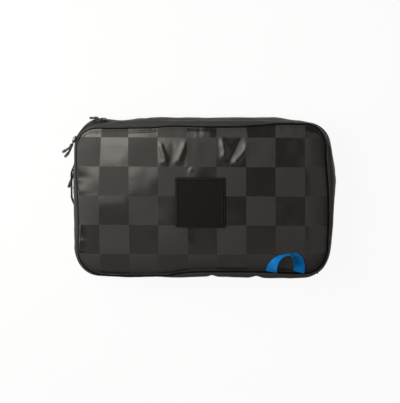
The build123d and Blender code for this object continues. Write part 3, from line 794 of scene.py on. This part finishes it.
def chain_edge(s):
    """Where a wall's edge lies against the chain."""
    return WALL + chain_push(s)


def front_edge(s):
    """Where the front wall's lower edge stands: against the chain, or with the wall where that lies further in."""
    return np.minimum(chain_edge(s), front_belly(s) + 0.0004)


def front_folds(s, z):
    amount = smoothstep(0.0528, 0.058, z) * smoothstep(0.0712, 0.067, z)
    folds = 0.0006 * seam_noise(s, 40, z / 0.02, 6) + 0.0004 * seam_noise(s, 120, z / 0.012, 7)
    return folds * amount


def front_controls(s):
    """The front wall's profile from its hem up to the seam, as pairs of d and z."""
    belly, edge, seam = front_belly(s), front_edge(s), seam_push(s)
    by_hinge, rolled = smoothstep(-0.100, -0.122, seam_at(s)[1]), 1 - groove(s)
    over = np.maximum(belly - seam, 0.001)
    return [
        (edge - 0.0024, 0.0545), (edge - 0.0012, 0.0530), (edge, 0.0538),
        (edge + (0.55 - 0.35 * by_hinge) * (belly - edge), 0.0556),
        (belly, 0.0595 + 0.0034 * by_hinge), (0.97 * belly, 0.0640 + 0.0014 * by_hinge),
        (seam + 0.75 * over, 0.0686), (seam + 0.0009 + 0.35 * over, 0.0706 + 0.0004 * rolled),
        (seam + 0.0002, 0.0700 + 0.0010 * rolled),
    ]


WALL_SAMPLES, WALL_T = 640, 0.0010
front_s = run_of(WALL_SAMPLES)
front_d, front_z = spread(front_controls(front_s), 34)
front_d = front_d + front_folds(front_s[:, None], front_z)
front_wall = strip("front_wall", around(front_s[:, None], front_d, front_z), s=front_s, closed=True)
piece(front_wall, "lid", "wall_cloth", "front_gusset", thick=WALL_T)

POCKET_EDGE = 0.004
slot_s = (near(-SEAM_X, POCKET_Y[1] + POCKET_EDGE), near(-SEAM_X, POCKET_Y[0] - POCKET_EDGE))
slot_z = (POCKET_Z - SLOT_HALF, POCKET_Z + SLOT_HALF)


def rear_folds(s, z):
    calm = 1 - smoothstep(slot_s[0] - 0.02, slot_s[0], s) * smoothstep(slot_s[1] + 0.02, slot_s[1], s) * 0.8
    amount = smoothstep(0.0445, 0.038, z) * smoothstep(0.003, 0.010, z)
    return (0.0008 * seam_noise(s, 34, z / 0.03, 8) + 0.0004 * seam_noise(s, 110, z / 0.02, 9)) * amount * calm


def rear_d(s, z):
    """The rear wall's profile: rounded out of the back seam, bellied, then in to the chain."""
    base, turn_z, turn_h = 0.0008, 0.013, 0.0106
    belly = rear_belly(s)
    middle = belly + (chain_edge(s) - belly) * smoothstep(0.028, BACK_EDGE_Z, z)
    turn = np.sqrt(np.clip(1 - ((turn_z - z) / turn_h) ** 2, 0, 1))
    return np.where(z < turn_z, base + (middle - base) * turn, middle)


def rear_at(s, z):
    """The rear wall's d with its folds."""
    return rear_d(s, z) + rear_folds(s, z)


def outside_slot(i, j):
    """Whether a face of the rear wall lies outside the pocket zipper's slot."""
    mid_s = (rear_s[i] + rear_s[(i + 1) % len(rear_s)]) / 2
    mid_z = (rear_z[i, j] + rear_z[i, j + 1]) / 2
    return not (slot_s[0] < mid_s < slot_s[1] and slot_z[0] < mid_z < slot_z[1])


REAR_STITCH_Z = 0.0386
rear_rows = np.array([
    0.0030, 0.0036, 0.0048, 0.0065, 0.0088, 0.0112, *np.linspace(*slot_z, 9), 0.0262, 0.0288, 0.0314, 0.0340, 0.0364,
    REAR_STITCH_Z, 0.0405, 0.0420, BACK_EDGE_Z + 0.0001,
])
rear_s = run_of(WALL_SAMPLES, *slot_s)
rear_z = np.tile(rear_rows, (len(rear_s), 1))
rear_out = rear_at(rear_s[:, None], rear_z)
hem = rear_out[:, -1:]
rear_out = np.hstack([rear_out, hem - 0.0012, hem - 0.0024])
rear_z = np.hstack([rear_z, 0 * hem + BACK_EDGE_Z + 0.0005, 0 * hem + BACK_EDGE_Z - 0.0012])
rear_wall = strip("rear_wall", around(rear_s[:, None], rear_out, rear_z), s=rear_s, closed=True, keep=outside_slot)
piece(rear_wall, "base", "wall_cloth", "rear_gusset", thick=WALL_T)


def back_height(x, y, depth):
    swell = 0.00035 * (1 + noise2(x / 0.05, y / 0.05, 11)) * smoothstep(0, 0.02, depth)
    return 0.0001 + 0.0020 * np.exp(-np.maximum(depth, 0) / 0.004) + swell


back_cloth = cloth_tray("back_cloth", -0.0012, 0.0035, back_height, lambda s: [(0.0002, 0.0029), (-0.0003, 0.0034)])
back_cloth.data.flip_normals()
piece(back_cloth, "base", "back_cloth", "rear_panel", thick=0.0009)

bind_s = run_of(700)


def binding(name, d, z, radius, body, node):
    """A slightly lumpy round binding. d, z and radius are numbers, or arrays over bind_s."""
    lump = 1 + 0.05 * seam_noise(bind_s, 150, 0, 12)
    piece(tube(name, around(bind_s, d, z), radius * lump, sides=12, closed=True), body, "binding", node)


rolled_z = SEAM_Z - 0.0010 - 0.0012 * (1 - groove(bind_s))
binding("front_binding", seam_push(bind_s) + 0.0003, rolled_z, front_pipe(bind_s), "lid", "front_piping")
binding("rear_binding", 0.0005, BACK_SEAM_Z + 0.0001, PIPE_R * 0.95, "base", "rear_piping")

# ---- padding and linings
PAD_D = -0.0078


def slab(name, top, bottom, body, node):
    """A closed pad: top(depth) above, flat below, with rounded edges."""

    def close(work):
        bmesh.ops.holes_fill(work, edges=[e for e in work.edges if e.is_boundary])
        for face in work.faces:
            face.smooth = True

    pad = cloth_tray(name, PAD_D, 0.008, lambda x, y, depth: top(depth) - 0.0016 * np.exp(-depth / 0.003),
                     lambda s: [(PAD_D + 0.0009, bottom + 0.0022), (PAD_D + 0.0002, bottom)])
    piece(rework(pad, close), body, "padding", node)


front_foam, rear_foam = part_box("front_foam"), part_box("rear_foam")
slab("front_pad", lambda depth: crown_z(depth + 0.0068) - 0.0032, front_foam[LO].z + 0.0003, "lid", "front_foam")
slab("rear_pad", lambda depth: rear_foam[HI].z - 0.0004, rear_foam[LO].z + 0.0004, "base", "rear_foam")

LINING_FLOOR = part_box("rear_lining")[LO].z + 0.0006
LINING_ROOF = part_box("front_lining")[HI].z - 0.0006


def lining(name, z, curl, ripple, seed, belly, edge, rows):
    """A lining: a rippled sheet at z with a curled rim, then rows of (z, share, offset, folds, phase) up the walls.

    The share is 0 on the inside of the side wall and 1 at the rim beside the zipper. The last three may be left out.
    """

    def height(x, y, depth):
        return z + curl * np.exp(-depth / 0.004) + ripple * (1 + noise2(x / 0.035, y / 0.04, seed))

    def row(s, z, share, offset=0, folds=0, phase=0):
        wall, rim = np.minimum(0.0026, belly(s) - 0.0030), np.minimum(0.0050, edge(s) - 0.0028)
        return wall + (rim - wall) * share + offset + folds * seam_noise(s, 60, phase, 14), z

    return cloth_tray(name, -0.0060, 0.006, height, lambda s: [row(s, *numbers) for numbers in rows])


rear_lining = lining("rear_lining_cloth", LINING_FLOOR, 0.0009, 0.0003, 13, rear_belly, chain_edge, [
    (LINING_FLOOR + 0.0018, 0, -0.0030), (LINING_FLOOR + 0.0042, 0, -0.0008), (0.0160, 0, 0, 0.0004),
    (0.0220, 0, -0.0002, 0.0005, 0.7), (0.0290, 0, 0, 0.0005, 1.5), (0.0340, 0), (0.0362, 0.5), (0.0385, 1),
    (0.0422, 1),
])
piece(rear_lining, "base", "lining_cloth", "rear_lining", thick=0.0007, offset=1.0)

front_lining = lining("front_lining_cloth", LINING_ROOF, -0.0006, -0.0002, 15, front_belly, front_edge, [
    (LINING_ROOF - 0.0014, 0, -0.0030), (LINING_ROOF - 0.0032, 0, -0.0008), (0.0600, 0), (0.0588, 0.5), (0.0575, 1),
    (0.0548, 1),
])
piece(front_lining, "lid", "lining_cloth", "front_lining", thick=0.0006)


def pouch_mesh():
    """The pocket's empty pouch: two plies lying flat, a little puffed."""
    n, m = 60, 46
    lo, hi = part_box("pocket_pouch")
    u, v = np.meshgrid(np.linspace(-1, 1, n), np.linspace(-1, 1, m), indexing="ij")
    x, y = (lo.x + hi.x) / 2 + u * (hi.x - lo.x) / 2, (lo.y + hi.y) / 2 + v * (hi.y - lo.y) / 2
    rim = np.minimum(1 - np.abs(u), 1 - np.abs(v))
    thick = 0.00042 * np.sqrt(np.clip(rim / 0.04, 0, 1))
    mid = (lo.z + hi.z) / 2 + 0.00006 * noise2(u * 5, v * 5, 16)
    plies = np.concatenate([np.stack([x, y, mid + side * thick], -1).reshape(-1, 3) for side in (1, -1)])
    quads = grid_quads(n, m)[1]
    faces = np.concatenate([quads, quads[:, ::-1] + n * m])
    made = new_mesh("pocket_bag", plies, faces, plies[faces.ravel()][:, :2])
    return rework(made, lambda work: bmesh.ops.remove_doubles(work, verts=work.verts, dist=1e-6), outward=False)


pocket_bag = pouch_mesh()
piece(pocket_bag, "base", "lining_cloth", "pocket_pouch")


# ---- hinge cloth
def corner_s(side, turn):
    """Arc length of the point turned by an angle about a hinge-side corner, away from the end wall."""
    x = side * (SEAM_X - SEAM_R + SEAM_R * math.cos(turn))
    return near(x, SEAM_R - SEAM_Y - SEAM_R * math.sin(turn))


HINGE_PAST_DEG = 4.8  # between the zipper's end and the hinge cloth, round the corner
hinge_turn = math.radians(ZIP_END_DEG + HINGE_PAST_DEG)
hinge_half = np.array([0.4, 0.8, 1.3, 1.9, 2.6, 3.4, 4.4, 5.6, 7.0, 8.5]) * MM
hinge_s = np.linspace(corner_s(-1, hinge_turn), corner_s(1, hinge_turn), 260)[:, None]
hinge_up = np.concatenate([-hinge_half[::-1], [0], hinge_half])[None]
tuck = 0.0010 * smoothstep(0.0035, 0.0060, np.abs(hinge_up))
crease = 0.0003 * np.exp(-((hinge_up / 0.0012) ** 2))
hinge_z = hinge_up + HINGE_Z
hinge_d = chain_edge(hinge_s) - 0.0004 - tuck - crease + 0.0002 * noise2(hinge_s / 0.012, hinge_z / 0.006, 17)
hinge_cloth = strip("hinge_cloth", around(hinge_s, hinge_d, hinge_z))
piece(hinge_cloth, None, "wall_cloth", "hinge_strip_rear", "hinge_strip_front", thick=0.0006)
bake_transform(hinge_cloth)

# ---- zipper tapes and coils
TAPE_PAST_CHAIN = 0.0033  # the tapes run on to the hinge cloth
zip_start, zip_end = corner_s(1, math.radians(ZIP_END_DEG)), corner_s(-1, math.radians(ZIP_END_DEG))
zip_start -= PERIM if zip_start > PERIM / 2 else 0


def tape(name, s, d, edge, rows, body, node):
    """A woven tape from rows of (z, tuck, share), listed upward. A row with a tuck lies behind a wall's edge by it."""

    def row(z, tuck=0, share=1):
        return around(s, d + share * (np.minimum(d, edge - tuck) - d) if tuck else d, z)

    made = strip(name, np.stack([row(*numbers) for numbers in rows], 1), s=s - s[0])
    piece(made, body, "zip_tape", node, thick=TAPE_T * 0.8, offset=1.0)


tape_s = np.linspace(zip_start - TAPE_PAST_CHAIN, zip_end + TAPE_PAST_CHAIN, 566)
tape_d = TAPE_OUT + chain_push(tape_s) - TAPE_T
tape("rear_tape", tape_s, tape_d, chain_edge(tape_s), [
    (0.0362, 0.0024), (0.0405, 0.0022), (0.0432, 0.0020), (0.0448,), (0.0462,), (ZIP_Z - 0.0007,),
], "base", "main_tape_rear")
tape("front_tape", tape_s, tape_d, front_edge(tape_s), [
    (ZIP_Z + 0.0007,), (0.0506,), (0.0522, 0.0016, 0.4), (0.0538, 0.0014), (0.0556, 0.0016), (0.0568, 0.0018),
], "lid", "main_tape_front")

COIL_PITCH = 0.0022
COIL_GAP = 0.00046
WIRE = 0.00034


def coil_row(s0, s1, z_mid, way, phase, push=np.zeros_like):
    """One row of a coil: a wire wound in flat loops. way is 1 above the chain's middle, -1 below."""
    steps = 12
    t = np.arange(int((s1 - s0) / COIL_PITCH) * steps + 1) / steps
    a = 2 * math.pi * t
    s = s0 + (t + phase) * COIL_PITCH + 0.175 * COIL_PITCH * np.sin(a)
    low, high = COIL_GAP + WIRE, ROW_TOP - WIRE
    z = z_mid + way * (low + (high - low) * (0.5 + 0.5 * np.cos(a)))
    half = (COIL_OUT - TAPE_OUT) / 2 - WIRE - 0.00005
    path = around(s, (TAPE_OUT + COIL_OUT) / 2 + half * np.sin(a) + push(s), z)
    _, _, nx, ny = seam_at(s)
    return rings(path, unit(np.gradient(path, axis=0)), np.stack([-ny, nx, 0 * nx], -1), WIRE, 6)


def coil_piece(name, blocks, body, node):
    """Coil rows as one piece, with their ends closed."""
    verts, faces = [], []
    for points in blocks:
        faces += ring_faces(*points.shape[:2], sum(map(len, verts)))
        verts.append(points.reshape(-1, 3))
    verts = np.concatenate(verts)
    made = new_mesh(name, verts, faces, [verts[i, :2] for face in faces for i in face])
    piece(rework(made), body, "coil", node)


coil_piece("rear_coil", [coil_row(zip_start, zip_end, ZIP_Z, -1, 0.0, chain_push)], "base", "main_coil_rear")
coil_piece("front_coil", [coil_row(zip_start, zip_end, ZIP_Z, 1, 0.5, chain_push)], "lid", "main_coil_front")
pocket_ends = (near(-SEAM_X, POCKET_Y[1]), near(-SEAM_X, POCKET_Y[0]))
coil_piece("pocket_coil", [coil_row(*pocket_ends, POCKET_Z, -1, 0.0), coil_row(*pocket_ends, POCKET_Z, 1, 0.5)],
           "base", "pocket_coils")
pocket_s = np.linspace(pocket_ends[0] - 0.003, pocket_ends[1] + 0.003, 60)
pocket_d = TAPE_OUT - TAPE_T + 0 * pocket_s
for name, heights in (("pocket_tape", (0.0120, 0.0150, POCKET_Z - 0.0007)),
                      ("pocket_tape_high", (POCKET_Z + 0.0007, 0.0220, 0.0268))):
    tape(name, pocket_s, pocket_d, pocket_d, [(z,) for z in heights], "base", "pocket_tapes")

# ---- badge patch
patch_lo, patch_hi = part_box("badge_patch")
PATCH_AT = ((patch_lo.x + patch_hi.x) / 2, (patch_lo.y + patch_hi.y) / 2)
PATCH_HALF = (patch_hi.x - patch_lo.x) / 2
PATCH_FACE = patch_hi.z - 0.0005


def patch_loop(half, radius, z):
    """A rounded square about the patch's middle: the same count of points on each corner and each side."""
    arcs, points = [], []
    for k, (sx, sy) in enumerate([(1, 1), (-1, 1), (-1, -1), (1, -1)]):
        a = math.pi / 2 * k + np.linspace(0, math.pi / 2, 10)
        arcs.append(np.array((sx, sy)) * (half - radius) + radius * np.stack([np.cos(a), np.sin(a)], -1))
    for k, arc in enumerate(arcs):
        points += [arc, np.linspace(arc[-1], arcs[(k + 1) % 4][0], 14)[1:-1]]
    xy = np.concatenate(points) + PATCH_AT
    return np.column_stack([xy, np.full(len(xy), z)])


def patch_mesh():
    """A bare rubber patch: rounded rim, raised border line, and a face that dishes very slightly."""
    profile = [  # inset from the rim, and height over the face
        (0.0000, -0.0019), (0.0000, -0.0006), (0.0002, -0.0002), (0.0006, 0.0), (0.0026, 0.0), (0.0031, 0.0),
        (0.0032, 0.0001), (0.0033, 0.00036), (0.0036, 0.0005), (0.0045, 0.0005), (0.0048, 0.00036), (0.0049, 0.0001),
        (0.0051, 0.0), (0.0056, 0.0), (0.012, 0.00002), (0.022, -0.00003), (0.032, -0.00006), (0.040, -0.00008),
    ]
    loops = []
    for inset, z in profile:
        half = PATCH_HALF - inset
        loops.append(patch_loop(half, min(max(0.0030 - inset * 0.6, 0.0006), half * 0.9), PATCH_FACE + z))
    n, m = len(loops[0]), len(loops)

    def close(work):
        work.verts.ensure_lookup_table()
        work.faces.new([work.verts[i * m + m - 1] for i in range(n)])
        work.faces.new([work.verts[i * m] for i in range(n)][::-1])

    return rework(strip("patch", np.stack(loops, 1), closed=True), close)


piece(patch_mesh(), "lid", "patch_rubber", "badge_patch")


# ---- stitches
def stitches(name, path, ups, pitch, length, radius, body, slot, closed=True):
    """Thread stitches along a dense path: short round bars, arched along ups, the surface's outward directions."""
    path, ups = np.asarray(path, float), np.asarray(ups, float)
    if closed:
        path, ups = np.vstack([path, path[:1]]), np.vstack([ups, ups[:1]])
    run = run_length(path)
    count = max(1, int(round(run[-1] / pitch)))
    at = (np.arange(count) + 0.5) * run[-1] / count
    pick = lambda values, q: np.stack([np.interp(q, run, values[:, k]) for k in range(3)], -1)
    way = unit(pick(path, np.minimum(at + 0.0003, run[-1])) - pick(path, np.maximum(at - 0.0003, 0)))
    up = pick(ups, at)
    up = unit(up - way * (up * way).sum(1, keepdims=True))
    # The axes are the stitch, the place along it, the place round it, and the coordinate
    centre, side, way, up = (v[:, None, None] for v in (pick(path, at) + up * 0.0001, np.cross(way, up), way, up))
    t = np.array([-1.0, -0.92, -0.5, 0.0, 0.5, 0.92, 1.0])[:, None, None]
    r = np.array([0.02, 0.6, 1.0, 1.0, 1.0, 0.6, 0.02])[:, None, None] * radius
    angle = np.linspace(0, 2 * math.pi, 6, endpoint=False)[:, None]
    spine = centre + way * (t * length / 2) + up * (radius * (0.35 - 0.9 * t**4))
    points = spine + r * (side * np.cos(angle) + up * np.sin(angle))
    n, a, b = points.shape[:3]
    i, j, k = np.meshgrid(np.arange(n), np.arange(a - 1), np.arange(b), indexing="ij")
    q = (k + 1) % b
    row = i * a * b + j * b
    faces = np.stack([row + k, row + q, row + b + q, row + b + k], -1).reshape(-1, 4)
    piece(new_mesh(name, points, faces, np.zeros((len(faces) * 4, 2))), body, slot, finish="black_thread")


def wall_line(s, d, z, row):
    """A line along a wall sheet at a row of its grid, with its outward normals."""
    _, _, nx, ny = seam_at(s)
    slope_d, slope_z = d[:, row + 1] - d[:, row - 1], z[:, row + 1] - z[:, row - 1]
    size = np.hypot(slope_d, slope_z)
    out = slope_z / size
    return around(s, d[:, row], z[:, row]), np.stack([nx * out, ny * out, -slope_d / size], -1)


def slot_border():
    """A closed line just outside the pocket zipper's slot, on the wall, with its normals."""
    s_a, s_b = slot_s[0] - 0.0022, slot_s[1] + 0.0022
    z_a, z_b = slot_z[0] - 0.0019, slot_z[1] + 0.0019
    along, up = np.linspace(s_a, s_b, 60), np.linspace(z_a, z_b, 8)[1:-1]
    s = np.concatenate([along, s_b + 0 * up, along[::-1], s_a + 0 * up])
    z = np.concatenate([z_a + 0 * along, up, z_b + 0 * along, up[::-1]])
    _, _, nx, ny = seam_at(s)
    return around(s, rear_at(s, z), z), np.stack([nx, ny, 0 * nx], -1)


THREAD_R = 0.00024
WALL_STITCH = (0.0034, 0.0025, THREAD_R)  # pitch, length and radius
FRONT_STITCH_Z, HEM_ROWS = 0.0562, 8
PATCH_STITCH = (0.0031, 0.0022, THREAD_R)
HANDLE_STITCH = (0.0026, 0.0020, 0.00022)
border = patch_loop(PATCH_HALF - 0.0017, 0.0020, PATCH_FACE)
stitches("patch_stitches", border, np.tile((0, 0, 1.0), (len(border), 1)), *PATCH_STITCH, "lid", "patch_rubber")
front_row = int(np.argmin(np.abs(front_z[0, HEM_ROWS:] - FRONT_STITCH_Z))) + HEM_ROWS
stitches("front_wall_stitches", *wall_line(front_s, front_d, front_z, front_row), *WALL_STITCH, "lid", "wall_cloth")
rear_row = int(np.argmin(np.abs(rear_rows - REAR_STITCH_Z)))
stitches("rear_wall_stitches", *wall_line(rear_s, rear_out, rear_z, rear_row), *WALL_STITCH, "base", "wall_cloth")
stitches("pocket_stitches", *slot_border(), *WALL_STITCH, "base", "wall_cloth")

# ---- webbing loop
LOOP_W, LOOP_T = 0.0194, 0.0014
LOOP_SPAN, LOOP_RISE, LOOP_LEAN = 0.0472, 0.031, 0.007
LOOP_X, LOOP_Y = SEAM_X - 0.073, 0.0030 - SEAM_Y
SELVEDGE = 0.0005


def loop_middle(u):
    """The loop's middle line at an angle along it, and how far the webbing is tilted there."""
    x = LOOP_X - LOOP_SPAN / 2 * np.cos(u) + LOOP_LEAN * np.sin(u)
    y = LOOP_Y + LOOP_RISE * np.sin(u)
    tilt = math.pi / 2 * np.maximum(np.sin(u), 0) ** (1 + 1.6 * smoothstep(1.5, 2.1, u))
    inset = y + LOOP_W / 2 * np.cos(tilt) * np.sin(u) + SEAM_Y
    low = crown_z(inset) + 0.0005 + LOOP_T / 2
    return np.stack([x, y, low + LOOP_W / 2 * np.sin(tilt)], -1), tilt


def ribbon(name, middle, along, width, w, t):
    """Flat webbing with rounded selvedges, swept along a middle line."""
    upper = [(w / 2 - SELVEDGE, t / 2), (w / 2 - SELVEDGE * 0.3, t * 0.35), (w / 2, 0)]
    section = [(-v, h) for v, h in upper[::-1]]
    section += [(v, t / 2) for v in np.linspace(-w / 2 + 2 * SELVEDGE, w / 2 - 2 * SELVEDGE, 9)] + upper
    section = np.array(section + [(v, -h) for v, h in section[1:-1][::-1]])
    normal = np.cross(along, width)
    points = middle[:, None] + width[:, None] * section[None, :, 0, None] + normal[:, None] * section[None, :, 1, None]
    run, m = run_length(middle), len(section)
    faces = ring_faces(len(middle), m)
    uvs = [(run[q // m], section[q % m, 0]) for face in faces for q in face]
    return rework(new_mesh(name, points, faces, uvs))


u = np.linspace(-0.04, math.pi + 0.04, 90)
middle, tilt = loop_middle(u)
forward = unit(loop_middle(u + 0.002)[0] - loop_middle(u - 0.002)[0])
flat_out = unit(np.stack([-forward[:, 1], forward[:, 0], 0 * u], -1))
wide = flat_out * np.cos(tilt)[:, None] - np.array([[0, 0, 1.0]]) * np.sin(tilt)[:, None]
wide = unit(wide - forward * (wide * forward).sum(1, keepdims=True))
blue_loop = ribbon("blue_loop", middle, forward, wide, LOOP_W, LOOP_T)
piece(blue_loop, "lid", "blue_webbing", "webbing_loop")

# ---- side handle
handle_lo, handle_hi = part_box("side_handle")
HANDLE_Y, HANDLE_Z = (handle_lo.y + handle_hi.y) / 2, (handle_lo.z + handle_hi.z) / 2
HANDLE_W, HANDLE_T = handle_hi.z - handle_lo.z, 0.0015
BOW = 0.0072
handle_y = np.linspace(handle_lo.y, handle_hi.y, 110)
bow = BOW * (1 - smoothstep(0.019, 0.043, np.abs(handle_y - HANDLE_Y + 0.0045)))
handle_x = -(SEAM_X + WALL + 0.0002 + HANDLE_T / 2) - bow
middle = np.stack([handle_x, handle_y, np.full_like(handle_y, HANDLE_Z)], -1)
wide = np.tile((0, 0, 1.0), (len(middle), 1))
grab = ribbon("grab_handle", middle, unit(np.gradient(middle, axis=0)), wide, HANDLE_W, HANDLE_T)
piece(grab, "base", "black_webbing", "side_handle")
# A box of stitches with a cross in it, over each end
for end, label in ((-1, "low"), (1, "high")):
    y0, y1 = sorted((HANDLE_Y + end * 0.0545, HANDLE_Y + end * 0.0425))
    z0, z1 = HANDLE_Z - HANDLE_W / 2 + 0.0016, HANDLE_Z + HANDLE_W / 2 - 0.0016
    corners = np.array([(y0, z0), (y1, z0), (y1, z1), (y0, z1), (y0, z0), (y1, z1), (y1, z0), (y0, z1)])
    yz = np.concatenate([np.linspace(a, b, 24, endpoint=False) for a, b in zip(corners, corners[1:])])
    x = np.interp(yz[:, 0], handle_y, handle_x) - HANDLE_T / 2
    stitches(f"handle_stitches_{label}", np.column_stack([x, yz]), np.tile((-1.0, 0, 0), (len(yz), 1)), *HANDLE_STITCH,
             "base", "black_webbing", closed=False)

# ---- knots
KNOT_TURNS = {"top": -6.0, "corner": 66.0, "pocket": 82.0}
t = np.linspace(0, 2 * math.pi, 150, endpoint=False)
knot_x = (np.sin(t) + 2 * np.sin(2 * t)) / 3.0 * 0.0027
knot_z = (np.cos(t) - 2 * np.cos(2 * t)) / 3.0 * 0.0026
knot_y = -np.sin(3 * t) * 0.0013
for pull, turn in KNOT_TURNS.items():
    cos, sin = math.cos(math.radians(turn)), math.sin(math.radians(turn))
    path = np.array(KNOTS[pull]) + np.stack([knot_x * cos - knot_y * sin, knot_x * sin + knot_y * cos, knot_z], -1)
    knot = rework(tube(f"{pull}_cord_knot", path, CORD_R * 0.86, sides=12, closed=True))
    piece(knot, f"{pull}_pull", "pull_cord", f"{pull}_knot")


# ---- the CAD's own metal parts
def dress(node, finish, bevel):
    """Gives a CAD node its finish and soft edges."""
    obj = frame["nodes"][node]
    paint(obj, finish)
    mod = obj.modifiers.new("soft_edges", "BEVEL")
    mod.width, mod.segments, mod.limit_method, mod.angle_limit = bevel, 2, "ANGLE", math.radians(40)


for pull in KNOTS:
    dress(f"{pull}_slider", "slider_metal", 0.0003)
    dress(f"{pull}_link", "link_metal", 0.0002)
dress("zip_stops", "stop_metal", 0.0003)


# ---- stage
def floor_finish():
    """Pale diffuse floor that shows white where nothing shades it, and still takes the object's shadow."""
    f = Finish("floor")
    f.set(Base_Color=grey(0.80), Roughness=0.9, Specular_IOR_Level=0.1)
    white = f.add("Emission", {"Color": grey(1), "Strength": 1.0})
    ray = f.add("LightPath").outputs
    seen = f.math("MAXIMUM", ray["Is Camera Ray"], f.math("MAXIMUM", ray["Is Glossy Ray"], ray["Is Transmission Ray"]))
    shade = f.add("MixShader", {0: f.math("MULTIPLY", seen, 0.93), 1: f.shader, 2: white})
    f.put(f.out, "Surface", shade)


FLOOR_Z = -0.0003
floor = new_mesh("floor", [(x, y, FLOOR_Z) for x, y in ((-4, -4), (4, -4), (4, 4), (-4, 4))], [(0, 1, 2, 3)])
floor_finish()
paint(floor, "floor")

# A dim ceiling over soft light from the sides, more of it from the upper left
WORLD_LEAN = (-0.65, 0.55, 0.0)
WORLD_FAR, WORLD_NEAR, WORLD_TOP = 0.11, 0.30, 0.015
world = bpy.data.worlds.new("world")
bpy.context.scene.world = world
g = Graph(world)
way = g.add("TexCoord").outputs["Generated"]
height = g.add("SeparateXYZ", {0: way}).outputs[2]
low = g.remap(height, 1.0, 0.0, 0.25, 0.92, interpolation_type="SMOOTHSTEP")
lean_way = g.add("VectorMath", {0: way, 1: WORLD_LEAN}, operation="DOT_PRODUCT").outputs["Value"]
side_light = g.remap(lean_way, WORLD_FAR, WORLD_NEAR, -1.0, 1.0)
sky = g.add("Background", {"Color": grey(1), "Strength": g.math("MULTIPLY_ADD", low, side_light, WORLD_TOP)})
plain = g.add("Background", {"Color": grey(1), "Strength": 1.0})
is_camera = g.add("LightPath").outputs["Is Camera Ray"]
g.add("OutputWorld", {"Surface": g.add("MixShader", {0: is_camera, 1: sky, 2: plain})})

# Soft rectangles of light: place, target, size, watts and colour. 0.1 mm in a target's y sets how a level one is turned
WARM, PINK = (1.0, 0.955, 0.875), (1.0, 0.96, 0.97)
LAMPS = {
    "key": ((-0.645, 0.210, 0.88), (-0.645, 0.2101, 0.0), (0.91, 0.520), 8.2, WARM),
    "key_edge": ((-0.135, 0.210, 0.88), (-0.135, 0.2101, 0.0), (0.11, 0.520), 0.42, WARM),
    "key_high": ((-0.47, 0.66, 0.68), (-0.10, 0.05, 0.05), (0.56, 0.52), 2.9, WARM),
    "side": ((-0.80, 0.05, 0.20), (-0.2, 0.05, 0.05), (0.4, 0.3), 1.9, WARM),
    "low_fill": ((-0.29, -0.54, 1.0), (-0.29, -0.5399, 0.0), (0.82, 0.72), 0.86, PINK),
    "right_fill": ((0.60, -0.04, 0.85), (0.60, -0.0399, 0.0), (0.94, 0.7), 1.1, WARM),
}
for name, (place, target, size, watts, colour) in LAMPS.items():
    data = bpy.data.lights.new(name, "AREA")
    data.shape, data.energy, data.color = "RECTANGLE", watts, colour
    data.size, data.size_y = size
    lamp = link(name, data)
    lamp.location = place
    lamp.rotation_euler = (Vector(target) - Vector(place)).to_track_quat("-Z", "Y").to_euler()

bpy.context.view_layer.update()
